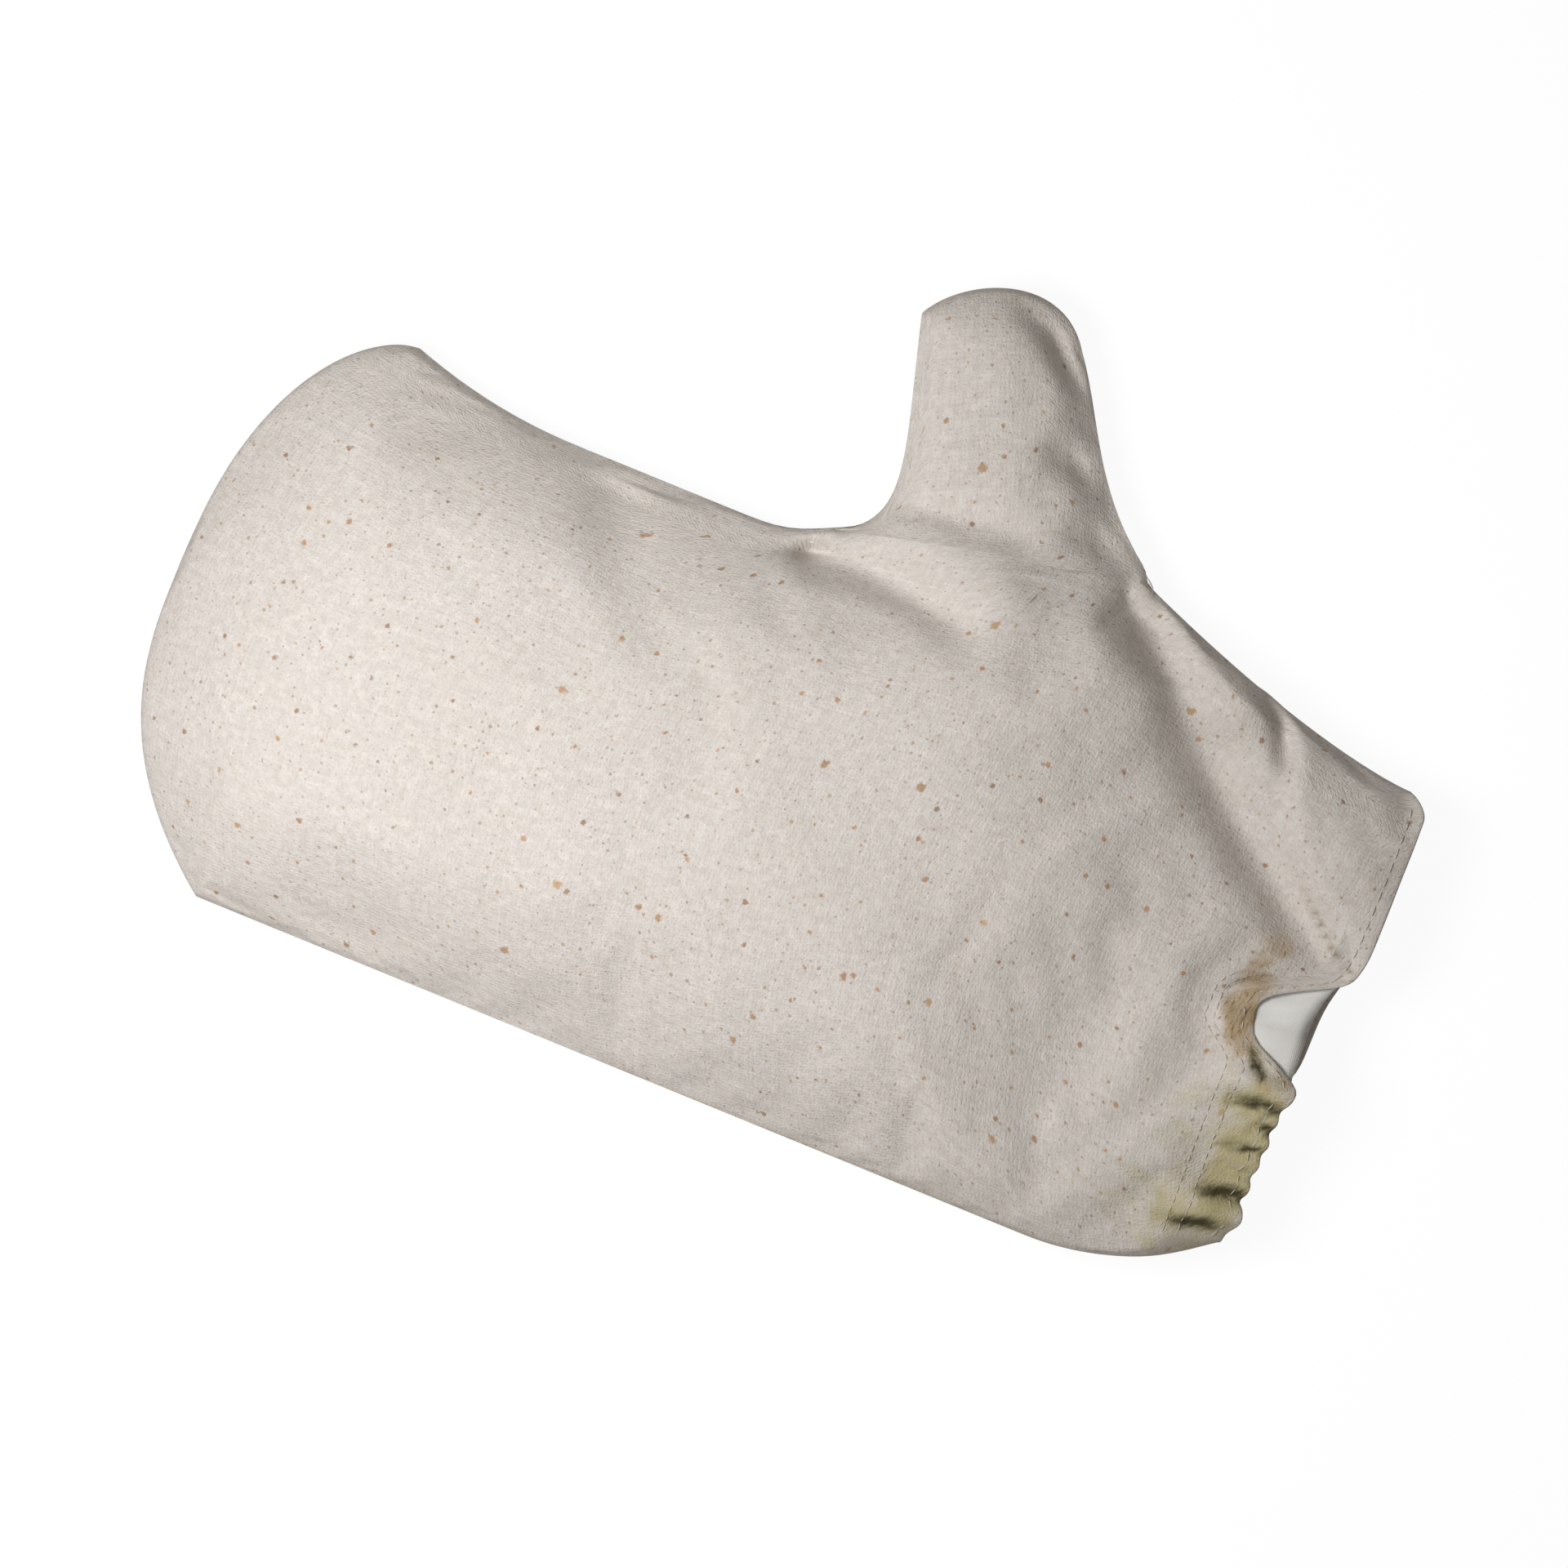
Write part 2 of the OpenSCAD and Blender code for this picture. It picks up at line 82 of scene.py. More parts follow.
TIP_A = np.array([ROOT_X - 1.5, PALM_W + THUMB_L - 14])
TIP_B = TIP_A + [THUMB_W, 6]
print("Mitten, mm:", CUFF_X + TIP_BOW, "long,", PALM_W, "across the palm")

# %% [markdown]
# ## The outline as two patches
# The flat shape is a palm patch and a thumb patch that share the thumb's foot. A patch is stretched between
# its four edges (a Coons patch), so a grid over two parameters fills it evenly and never crosses itself.
# A single outline filled with triangles would be quicker to write, but it would give no rows and columns for
# the weave and the gathers to follow.


# %% Edges of the palm and the thumb, and helpers for sizes
def to_metres(points):
    """From the mitten's millimetres to the frame: the origin moves to the middle of the palm."""
    return (points - [*MIDDLE, 0]) / 1000


def to_mm(points):
    """From the frame to the mitten's millimetres."""
    return points * 1000 + [*MIDDLE, 0]


def step(t):
    """0 below t = 0 and 1 above t = 1, with the smooth curve 3t^2 - 2t^3 between."""
    t = np.clip(t, 0, 1)
    return t * t * (3 - 2 * t)


def bezier(points, t):
    """Cubic curve: each of the four points times its weight, a product of powers of t and 1 - t."""
    a, b, c, d = (np.asarray(p, float) for p in points)
    t = np.asarray(t, float)[..., None]
    return a * (1 - t) ** 3 + 3 * b * t * (1 - t) ** 2 + 3 * c * t**2 * (1 - t) + d * t**3


def lower_y(x):
    """The lower edge: straight, then drawn up by the square of the distance along the cuff."""
    return CUFF_DRAW * np.clip((x - EDGE_L) / CUFF_RUN, 0, None) ** 2


def upper_y(x):
    """The upper edge: a flare at the fingertips, the web, the slope of the thumb's foot, and the wrist."""
    flare = PALM_W + TIP_FLARE * np.clip(1 - x / FLARE_RUN, 0, None) ** 2
    web = flare + WEB_RISE * np.clip((x - ROOT_X + WEB_RUN) / WEB_RUN, 0, None) ** 2
    foot = ROOT[1] + ROOT_SLOPE * (x - ROOT_X) / ROOT_W
    left = np.clip((CUFF_X - x) / (CUFF_X - HEEL[0]), 0, None)
    wrist = PALM_W - WRIST_DROP + (HEEL[1] - PALM_W + WRIST_DROP) * left**1.45
    return np.where(x < ROOT_X, web, np.where(x < HEEL[0], foot, wrist))


def palm(u, v):
    """A point of the palm: u runs from the fingertips to the cuff and v from the lower to the upper edge.
    x is the mean of the bowed fingertip end and the cuff edge, weighted by u.
    y is the mean of the two long edges, weighted by v."""
    s = abs(2 * v - 1)
    bow = np.where(v < 0.5, 1 - s**2.7, np.clip(1 - s**2.4, 0, None) ** 0.58)
    cuff = -CUFF_PULL * (1 - step((v - GATHER + 0.08) / 0.16)) - 5 * np.clip((v - 0.95) / 0.05, 0, 1) ** 2
    x = u * CUFF_X - (1 - u) * TIP_BOW * bow + u * cuff
    along = u * CUFF_X
    return np.stack([x, lower_y(along) * (1 - v) + upper_y(along) * v], -1)


def thumb(k, l):
    """A point of the thumb, k across it and l from foot to tip, by the same weighting of its edges."""
    inner = bezier([ROOT, ROOT + [15, 9], ROOT + [8, 22], TIP_A], l)
    outer = bezier([HEEL, HEEL + [-23, 13], TIP_B + [11, -14], TIP_B], l)
    end = bezier([TIP_A, TIP_A + [6, 12], TIP_B + [-11, 17], TIP_B], k)
    k, l = k[..., None], l[..., None]
    foot, corner = ROOT * (1 - k) + HEEL * k, TIP_A * (1 - k) + TIP_B * k
    return inner * (1 - k) + outer * k + foot * (1 - l) + end * l - foot * (1 - l) - corner * l


# %% [markdown]
# ## The grid
# One grid serves every ply. Its lines lie closer at the seam, where the cloth turns over, by adding a sine to
# an even spacing. The palm's top row is also the thumb's first row, so the two patches share their points.


# %% Grid of the mitten
def spaced(n, crowd=0.75, both=True):
    """n + 1 values from 0 to 1, closer at both ends (or at the start) by a sine of the even spacing."""
    t = np.linspace(0, 1, n + 1)
    return t - crowd * np.sin(2 * np.pi * t) / (2 * np.pi) if both else t - crowd * np.sin(np.pi * t) / np.pi


def quads(index):
    """Four-cornered faces between the rows and columns of a grid of point numbers."""
    return np.stack([index[:-1, :-1], index[1:, :-1], index[1:, 1:], index[:-1, 1:]], -1).reshape(-1, 4)


def mitten_grid(tip_n=40, foot_n=28, wrist_n=40, rows_n=90, thumb_n=26, inset=0.0):
    """Points, faces and marks of the whole mitten, drawn in from the seam by inset."""
    us = np.concatenate([
        spaced(tip_n, 0.8, False) * ROOT_X / CUFF_X,
        (ROOT_X + ROOT_W * spaced(foot_n, 0.6)[1:]) / CUFF_X,
        (HEEL[0] + (CUFF_X - HEEL[0]) * np.linspace(0, 1, wrist_n + 1)[1:]) / CUFF_X,
    ])
    vs = spaced(rows_n)
    u, v = np.meshgrid(us, vs, indexing="ij")
    start = inset / (CUFF_X + TIP_BOW)
    flat = palm(start + u * (1 - start), (inset + v * (PALM_W - 2 * inset)) / PALM_W)
    n, m = u.shape
    index = np.arange(n * m).reshape(n, m)
    foot = index[tip_n : tip_n + foot_n + 1, -1]
    ks, ls = spaced(foot_n, 0.6), 1 - spaced(thumb_n, 0.7, False)[::-1]
    k, l = np.meshgrid(ks, ls[1:], indexing="ij")
    tall = thumb((inset + k * (THUMB_W - 2 * inset)) / THUMB_W, l * (1 - inset / THUMB_L))
    above = np.concatenate([foot[:, None], n * m + np.arange(k.size).reshape(k.shape)], 1)
    points = np.concatenate([flat.reshape(-1, 2), tall.reshape(-1, 2)])
    sewn = np.zeros(len(points), bool)
    sewn[index[0]] = sewn[index[:, 0]] = True
    sewn[index[: tip_n + 1, -1]] = sewn[index[tip_n + foot_n :, -1]] = True
    sewn[above[0, 1:]] = sewn[above[-1, 1:]] = sewn[above[:, -1]] = True
    params = np.full((len(points), 2), [-1.0, 1.0])
    params[: n * m] = np.stack([u, v], -1).reshape(-1, 2)
    counts = {"tip_n": tip_n, "foot_n": foot_n, "wrist_n": wrist_n, "rows_n": rows_n, "thumb_n": thumb_n}
    return {"flat": points, "faces": np.concatenate([quads(index), quads(above)]), "sewn": sewn,
            "u": params[:, 0], "v": params[:, 1], "palm": index, "thumb": above, "cuff": index[-1],
            "counts": counts}


grid = mitten_grid()
print("Grid:", len(grid["flat"]), "points,", len(grid["faces"]), "faces")

# %% [markdown]
# ## Distance from the seam
# Most heights depend on how far a point is from the seam. The seam is a bent line of short pieces, and the
# distance is worked out for all points at once, a few thousand at a time to spare memory.


# %% Distance from the seam
def outline(n=60):
    """The seam from one cuff corner round the fingertips and the thumb to the other, n points a side."""
    t = np.linspace(0, 1, n)
    one, nil = np.ones(n), np.zeros(n)
    sides = [palm(1 - t, nil), palm(nil, t), palm(t * ROOT_X / CUFF_X, one), thumb(nil, t), thumb(t, one),
             thumb(one, 1 - t), palm((HEEL[0] + (CUFF_X - HEEL[0]) * t) / CUFF_X, one)]
    return np.concatenate([s[1:] if i else s for i, s in enumerate(sides)])


seam_line = outline()


def from_seam(points):
    """Distance of each point from the nearest of the outline's segments: each point is dropped onto every
    segment, the foot is kept between its ends, and the shortest drop counts."""
    a, b = seam_line[:-1], seam_line[1:]
    along = b - a
    best = np.full(len(points), 1e9)
    for start in range(0, len(points), 4000):
        p = points[start : start + 4000, None]
        t = np.clip(((p - a) * along).sum(-1) / (along**2).sum(-1), 0, 1)
        best[start : start + 4000] = np.linalg.norm(p - a - t[..., None] * along, axis=-1).min(1)
    return best


# %% [markdown]
# ## Heights
# The palm side bulges over the hand and the herb pad; the back bulges a little and lies flat on the table.
# Both turn over at the seam with the curve of a superellipse, which is fuller than a circle, as a stuffed
# cloth edge is. Sculpting by hand would look looser, but a formula keeps every ply parallel to the next.


# %% Heights of the two sides
def roll(s, crown=2.4):
    """0 at the seam and 1 from s = 1 inwards, along the quarter of a superellipse of that power."""
    return (1 - (1 - np.clip(s, 0, 1)) ** crown) ** (1 / crown)


def palm_rise(s, depth=0.0):
    """Height of the palm side at a distance s from the seam, for the ply at a depth under the canvas."""
    return SEAM_H + (HAND_RISE - depth) * roll((s - depth) / (FRONT_ROLL - depth))


def palm_height(g):
    """Height of the palm side's points and their distance from the seam."""
    s = from_seam(g["flat"])
    return np.where(g["sewn"], SEAM_H, palm_rise(s)), s


def back_height(g):
    """The same for the back, which goes down from the seam to the table."""
    s = from_seam(g["flat"])
    return np.where(g["sewn"], SEAM_H, SEAM_H - SEAM_H * roll(s / BACK_ROLL)), s


PAD_OUT, PAD_RUN = 9.0, 31.0


def pad_rise(g):
    """The herb pad under the canvas: full in the middle of the palm, and thinning over PAD_RUN towards its
    edges and over twice that towards the wrist. e is the distance inside the pouch's edge, and the canvas
    starts to rise PAD_OUT outside it."""
    along, across = g["u"] * CUFF_X, g["v"] * PALM_W
    e = np.minimum(np.minimum(along - INSET, (CUFF_X - STOP - along) / 2),
                   np.minimum(across, PALM_W - across) - INSET)
    return np.where(g["u"] < 0, 0, PAD * step((e + PAD_OUT) / PAD_RUN))


# %% [markdown]
# ## Folds
# The cloth is soft but not shapeless: it has the folds that a hand leaves. Each fold here is a path on the
# mitten, a width and a height. A simulation alone would put folds somewhere, but not where the photo has
# them.


# %% Folds
def near_path(points, path):
    """Distance from a bent path, the share of its length passed, and the side of it (+1 on the left)."""
    path = np.asarray(path, float)
    run = np.linalg.norm(np.diff(path, axis=0), axis=1)
    start = np.concatenate([[0], np.cumsum(run)])
    best, share, side = np.full(len(points), 1e9), np.zeros(len(points)), np.zeros(len(points))
    for i, (a, b) in enumerate(zip(path[:-1], path[1:])):
        along = b - a
        t = np.clip(((points - a) * along).sum(-1) / (along**2).sum(), 0, 1)
        off = points - a - t[:, None] * along
        d = np.linalg.norm(off, axis=-1)
        closer = d < best
        best = np.where(closer, d, best)
        share = np.where(closer, (start[i] + t * run[i]) / start[-1], share)
        side = np.where(closer, np.sign(along[0] * off[:, 1] - along[1] * off[:, 0]), side)
    return best, share, side


def fold(points, path, width, height, head=0.15, tail=0.3):
    """A ridge (or a valley, if height is negative) along path: a bell across it, fading at both ends."""
    d, share, _ = near_path(points, path)
    ends = step(share / head + 0.25 if head else 1) * step((1 - share) / tail + 0.25 if tail else 1)
    return height * np.exp(-((d / width) ** 2)) * ends


def ledge(points, path, width, height, reach):
    """A step down to the right of path: the height falls within the width, and comes back within reach."""
    d, share, side = near_path(points, path)
    down = 0.5 - 0.5 * np.tanh(d * side / width)
    back = np.exp(-np.clip(d - width, 0, None) * (side < 0) / reach)
    return -height * down * back * step(share / 0.2 + 0.2) * step((1 - share) / 0.15 + 0.3)


PALM_FOLDS = [
    # Heel of the thumb to the cuff, the puffed seam beside it, and the short fold at the notch
    ([(176, 158), (196, 143), (216, 124), (237, 107), (252, 97), (268, 88)], 7.0, -7.0),
    ([(200, 158), (216, 146), (229, 134), (240, 120)], 7.0, 3.6),
    ([(214, 151), (222, 147), (230, 140), (236, 127)], 2.7, -4.6),
    # Under the web, the web's dimple, the swelling over it, and the crease at the thumb's foot
    ([(101, 138), (110, 135), (122, 136), (136, 134), (154, 129)], 5.0, -5.6),
    ([(105, 142), (108, 134)], 4.2, -6.0),
    ([(118, 147), (140, 146), (168, 142)], 7.0, 3.0),
    ([(120, 152), (136, 156), (158, 158)], 3.4, -2.4),
    # Dent from the upper edge, and faint bands beyond it
    ([(58, 141), (60, 126), (69, 112), (84, 98)], 7.5, -3.0),
    ([(74, 122), (96, 98), (110, 66)], 9.0, -1.3),
    ([(92, 112), (108, 90), (118, 60)], 9.0, 0.8),
    # Nips in the thumb's outer side
    ([(162, 194), (151, 199), (140, 208)], 3.2, -4.0),
    ([(172, 183), (162, 179), (150, 180)], 3.4, -4.4),
    ([(184, 168), (174, 164), (162, 163)], 3.8, -3.6),
    ([(130, 214), (138, 208), (150, 210)], 4.5, -1.8),
    # Slack over the wrist
    ([(172, 60), (200, 52), (226, 50)], 12.0, -1.6),
    ([(186, 92), (214, 78), (238, 74)], 10.0, 1.6),
    ([(212, 28), (236, 30), (250, 33)], 8.0, 1.6),
]
FLAP = [(229, 143), (235, 131), (240, 118), (250, 104), (262, 93), (270, 88)]
FLAP_WIDTH, FLAP_HEIGHT, FLAP_REACH = 2.6, 5.0, 60.0
LEAN_RUN = 10.0


def soft_noise(points, size, seed, waves=24):
    """A smooth uneven surface about 1 high: the mean of many long sine waves in random directions."""
    rng = np.random.default_rng(seed)
    angle, phase = rng.uniform(0, 2 * np.pi, (2, waves))
    length = size * rng.uniform(0.7, 1.6, waves)
    across = points[:, :1] * np.cos(angle) + points[:, 1:] * np.sin(angle)
    return np.sin(2 * np.pi * across / length + phase).sum(1) * (2 / waves) ** 0.5


def palm_folds(points, s):
    """All folds and the flap, with a long and a short unevenness, fading out over 7 mm at the seam."""
    total = sum(fold(points, path, width, height) for path, width, height in PALM_FOLDS)
    total = total + ledge(points, FLAP, FLAP_WIDTH, FLAP_HEIGHT, FLAP_REACH)
    total = total + 0.35 * soft_noise(points, 42, 3) + 0.14 * soft_noise(points, 15, 4)
    return total * step(s / 7)


def thumb_lean(g, z):
    """The thumb lies turned, so its outer side slopes down to the seam over LEAN_RUN. The height over the
    seam is multiplied by a root of the distance from that side, which is 1 from there on."""
    end = thumb(np.linspace(0.72, 1, 12), np.ones(12))
    side = np.concatenate([end, thumb(np.ones(30), np.linspace(1, 0, 30)), HEEL[None] + [[4, -10]]])
    away = near_path(g["flat"], side)[0]
    factor = np.clip(away / LEAN_RUN, 0, 1) ** 0.5
    return (z - SEAM_H) * (factor - 1) * step((g["flat"][:, 1] - 140) / 22)


# %% [markdown]
# ## Gathers
# The elastic draws the lower part of the cuff together. Cloth that is drawn together stands up in uneven
# pleats with sharp, dark valleys and round crests. The pleats come from the places of their valleys: between
# two of them the cloth rises in half a sine, raised to a power below 1 so that the valley is the sharp part.

# %% Gathers
VALLEYS = np.array([4.0, 17.5, 28.0, 34.5, 40.0, 46.0, 51.5, 60.0, 72.0, 86.0])
RISES = np.array([5.4, 7.0, 4.4, 4.4, 4.8, 4.6, 7.0, 3.6, 1.2])
STARTS = np.array([25.0, 19.0, 24.0, 11.0, 16.0, 9.0, 22.0, 15.0, 12.0])
SINK = 2.4  # how far the valleys lie under the cloth beside them
DRAWN, EDGE_RUN = 3.2, 26.0  # how far the elastic draws the edge in, and over what length
PULL, PULL_RUN = 17.0, 48.0  # the same for the pull at its end


def gathers(points):
    """Height of the pleats: half a sine between neighbouring valleys, growing over STARTS to the elastic
    and fading out at the seam."""
    x, y = points.T
    lane = np.clip(np.searchsorted(VALLEYS, y) - 1, 0, len(RISES) - 1)
    t = np.clip((y - VALLEYS[lane]) / (VALLEYS[lane + 1] - VALLEYS[lane]), 0, 1)
    grow = step((x - (CUFF_X - FRILL + 2 - STARTS[lane])) / STARTS[lane]) ** 1.2
    inside = step((y - VALLEYS[0]) / 4) * step((VALLEYS[-1] - y) / 5) * step((from_seam(points) - 1) / 6)
    return (RISES[lane] * np.sin(np.pi * t) ** 0.5 - SINK) * grow * inside


def near_cuff(points, run):
    """0 until a run before the cuff's edge and 1 at the edge."""
    return step((points[:, 0] - (CUFF_X - run)) / run)


def drawn_in(points):
    """How far the elastic draws the cuff's edge in, along x."""
    return DRAWN * step((62 - points[:, 1]) / 6) * near_cuff(points, EDGE_RUN)


def frill(points):
    """How far the cuff's edge moves along x: the pleats push it out, the elastic draws it in, and it is
    pulled back at the end of the elastic, where the lining shows."""
    y = points[:, 1]
    out = 0.45 * gathers(points) * near_cuff(points, EDGE_RUN) - drawn_in(points)
    return out - PULL * step((y - 58) / 9) * step((88 - y) / 14) * near_cuff(points, PULL_RUN)


# %% [markdown]
# ## Meshes and cloth
# The formula gives a mitten that is too even, because real cloth buckles where it is held. Blender's Cloth
# adds that: the canvas is cut a little too large (a negative shrink), its seam and its elastic line are held,
# and a little pressure from the hand's side pushes it out. The result is applied, so no Cloth is left live.


# %% Mesh and cloth helpers
def arc_lengths(points, index):
    """Length along each line of a grid of points, counted from the middle of the line, in both directions."""
    grid3 = points[index]

    def along(axis):
        run = np.linalg.norm(np.diff(grid3, axis=axis), axis=-1)
        total = np.concatenate([np.zeros_like(np.take(run, [0], axis)), np.cumsum(run, axis)], axis)
        return total - np.take(total, [total.shape[axis] // 2], axis)

    return np.stack([along(0), along(1)], -1)


def weave_map(points, g):
    """Cloth coordinates in millimetres for the weave: arc lengths on the palm, carried on into the thumb."""
    uv = np.zeros((len(points), 2))
    uv[g["palm"]] = arc_lengths(points, g["palm"])
    thumb_uv = arc_lengths(points, g["thumb"])
    foot = g["thumb"][:, 0]
    thumb_uv += (uv[foot] - thumb_uv[:, 0])[:, None]
    uv[g["thumb"][:, 1:]] = thumb_uv[:, 1:]
    return uv


def make_piece(name, points, faces, uv=None):
    """A mesh from points in the mitten's millimetres, moved to the frame's origin and set in metres. faces is
    an array, or a list if the numbers of corners differ. uv gives each point's place on the cloth, in mm."""
    mesh = bpy.data.meshes.new(name)
    corners = faces if isinstance(faces, list) else faces.tolist()
    mesh.from_pydata(to_metres(points), [], corners)
    mesh.polygons.foreach_set("use_smooth", np.ones(len(mesh.polygons), bool))
    if uv is not None:
        layer = mesh.uv_layers.new(name="cloth")
        corner = np.empty(len(mesh.loops), np.int32)
        mesh.loops.foreach_get("vertex_index", corner)
        layer.data.foreach_set("uv", (uv[corner] / 1000).ravel())
    piece = bpy.data.objects.new(name, mesh)
    bpy.context.collection.objects.link(piece)
    return piece


def places(piece, finished=False):
    """The piece's points in the mitten's millimetres, as they are or as its modifiers leave them."""
    graph = bpy.context.evaluated_depsgraph_get()
    mesh = piece.evaluated_get(graph).to_mesh() if finished else piece.data
    co = np.empty(len(mesh.vertices) * 3)
    mesh.vertices.foreach_get("co", co)
    return to_mm(co.reshape(-1, 3))


def settle(piece, held, frames, pressure, ease, cap):
    """Runs the cloth simulation and applies it: held points stay, and no point moves more than cap mm."""
    mesh = piece.data
    start = places(piece)
    group = piece.vertex_groups.new(name="held")
    group.add(np.flatnonzero(held).tolist(), 1.0, "REPLACE")
    cloth = piece.modifiers.new("cloth", "CLOTH")
    c = cloth.settings
    c.quality, c.mass, c.air_damping = 6, 0.2, 2.0
    c.tension_stiffness = c.compression_stiffness = 20
    c.shear_stiffness, c.bending_stiffness = 8, 1.5
    c.vertex_group_mass = "held"
    c.shrink_min = -ease
    c.use_pressure, c.uniform_pressure_force = True, pressure
    c.effector_weights.gravity = 0
    cloth.collision_settings.use_collision = False
    scene = bpy.context.scene
    scene.frame_start, scene.frame_end = 1, frames
    cloth.point_cache.frame_start, cloth.point_cache.frame_end = 1, frames
    for f in range(1, frames + 1):
        scene.frame_set(f)
    move = places(piece, finished=True) - start
    piece.modifiers.remove(cloth)
    piece.vertex_groups.clear()
    far = np.linalg.norm(move, axis=1)
    move *= (np.minimum(far, cap) / np.maximum(far, 1e-9))[:, None]
    mesh.vertices.foreach_set("co", to_metres(start + move).ravel())
    mesh.update()
    scene.frame_set(1)
    print(f"{piece.name}: usual move {np.median(far):.2f} mm, furthest {far.max():.2f} mm")


def hem(points, g, depths):
    """Extra columns past the cuff's edge, turned over and back under it, as (back, down) of each column."""
    edge = points[g["cuff"]]
    rows = [edge + [-back, 0, -down] for back, down in depths]
    m, n = len(edge), len(points)
    index = np.vstack([g["cuff"], n + np.arange(len(depths) * m).reshape(len(depths), m)])
    return np.concatenate([points, *rows]), quads(index)


HEM = [(-0.4, 0.5), (-0.1, 1.3), (2, 1.5), (8, 1.5)]  # how far back and down each extra column lies
HEM_RUN = (0.6, 1.5, 3.5, 9.5)  # and how far along the cloth from the edge


def hemmed(name, skin, g, uv, side):
    """A canvas whose cuff edge is turned in: down on the palm side (side 1) and up on the back (-1)."""
    points, turned = hem(skin, g, [(back, side * down) for back, down in HEM])
    uv = np.concatenate([uv] + [uv[g["cuff"]] + [run, 0] for run in HEM_RUN])
    faces = np.concatenate([g["faces"], turned])
    return make_piece(name, points, faces[:, ::side], uv)


def smooth_over(piece, level=1):
    """One more Subdivision Surface, with the same level on screen and in the render."""
    finer = piece.modifiers.new("finer", "SUBSURF")
    finer.levels = finer.render_levels = level


# %% [markdown]
# ## Points of the photograph
# A few places are read off the photograph, in its frame scaled down to 1568 pixels. The extremes and the
# corners settle the camera, which looks straight down. The stains and the painted shade of the slits between
# the pleats are set on the canvas by rays from the camera, so they stay in place when the cloth is changed.

# %% Camera and image points
W = H = 1568.0
L = max(W, H)
LENS, SENSOR, SHIFT_X, SHIFT_Y, VIEW_W = 135.0, 36.0, 0.0, 0.0, 0.384
ROLL = math.radians(22.23)
AIM = Vector((0.0049, 0.0112, SEAM_H / 1000))
EDGES = {"left": 138.8, "right": 1423.5, "top": 288.3, "bottom": 1259.3}
CORNERS = {
    "finger corner": (418.0, 348.0), "lower corner": (196.0, 896.0), "thumb corner": (922.0, 313.5),
    "web": (831.0, 528.0), "thumb heel": (1147.5, 582.5), "cuff corner": (1409.0, 791.0),
}
STAINS = {"brown stain": (1244.0, 1010.0), "green stain": (1217.0, 1152.0)}
# Painted shade, near black, in the slits between the pleats: where each is seen and its size.
SLIT_SHADES = {  # pixel, then half length and width in millimetres, and slope
    "slit by the lining": (1259.0, 1066.0, 4.0, 2.2, -0.7), "slit 2": (1255.0, 1104.0, 8.5, 1.8, 0.14),
    "slit 3": (1268.0, 1129.0, 4.0, 1.5, 0.1), "slit 4": (1241.0, 1148.0, 7.0, 1.1, 0.2),
    "slit 5": (1223.0, 1192.0, 7.5, 2.2, 0.2), "slit 6": (1194.0, 1222.0, 6.5, 2.0, 0.2),
}
cam_data = bpy.data.cameras.new("camera")
cam_data.lens, cam_data.sensor_width, cam_data.sensor_fit = LENS, SENSOR, "AUTO"
cam_data.shift_x, cam_data.shift_y = SHIFT_X, SHIFT_Y
camera = bpy.data.objects.new("camera", cam_data)
camera.location = AIM + Vector((0, 0, VIEW_W * LENS / SENSOR))
camera.rotation_euler = (0, 0, ROLL)
bpy.context.collection.objects.link(camera)
scene = bpy.context.scene
scene.camera = camera
scene.view_settings.view_transform = "Standard"
turn = camera.rotation_euler.to_matrix()


def tree_of(piece):
    """A search tree of the piece as finished, modifiers included."""
    return BVHTree.FromObject(piece, bpy.context.evaluated_depsgraph_get())


def placed(tree, x, y):
    """Where a pixel lies on the tree's piece, in the mitten's millimetres: the place that the ray through the
    pixel meets or, if it misses, the place that is nearest to the ray."""
    ray = turn @ Vector((x - W / 2 + SHIFT_X * L, H / 2 - y + SHIFT_Y * L, -L * LENS / SENSOR))
    ray.normalize()
    hit = tree.ray_cast(camera.location, ray)[0]
    if hit is None:
        far = camera.location.z / -ray.z
        tries = [tree.find_nearest(camera.location + ray * (far - d / 1000)) for d in range(0, 40, 2)]
        hit = min(tries, key=lambda found: found[3])[0]
    return to_mm(np.array(hit))


def shown(points):
    """The pixels at which places in the mitten's millimetres show: the ray's formula turned round."""
    local = (to_metres(points) - np.array(camera.location)) @ np.array(turn)
    size = L * LENS / SENSOR / -local[:, 2:]
    return [W / 2 - SHIFT_X * L, H / 2 + SHIFT_Y * L] + local[:, :2] * size * [1, -1]

# %% [markdown]
# ## Soil and painted shade
# The cuff has been wet with herbs and dried again: brown at the notch, yellow-green over the gathers. The
# slits between the pleats and the flap's crease get painted shade. How soiled and how shaded each point is
# goes onto the mesh as values, which the canvas's material reads. Painting a picture would be quicker, but
# the soil and the shade wouldn't follow when a pleat is moved.


# %% Soil and painted shade in the canvas
def blob(points, centre, radii, seed):
    """1 in the middle of an uneven oval and 0 outside it."""
    r = np.linalg.norm((points - centre) / radii, axis=1) + 0.16 * soft_noise(points, 9, seed)
    return step((1.15 - r) / 0.75)


def slit_shade(points, centre, half, width, slope):
    """Painted shade in a slit between the pleats: 1 along a short sloping line and 0 beside it, tapering to
    both ends.
    """
    x, y = (points - centre[:2]).T
    taper = np.clip(1 - (x / half) ** 2, 0, 1) ** 0.5
    wander = 0.35 * np.sin(x / 1.9 + half)
    return np.exp(-(((y - slope * x - wander) / width) ** 2)) * taper


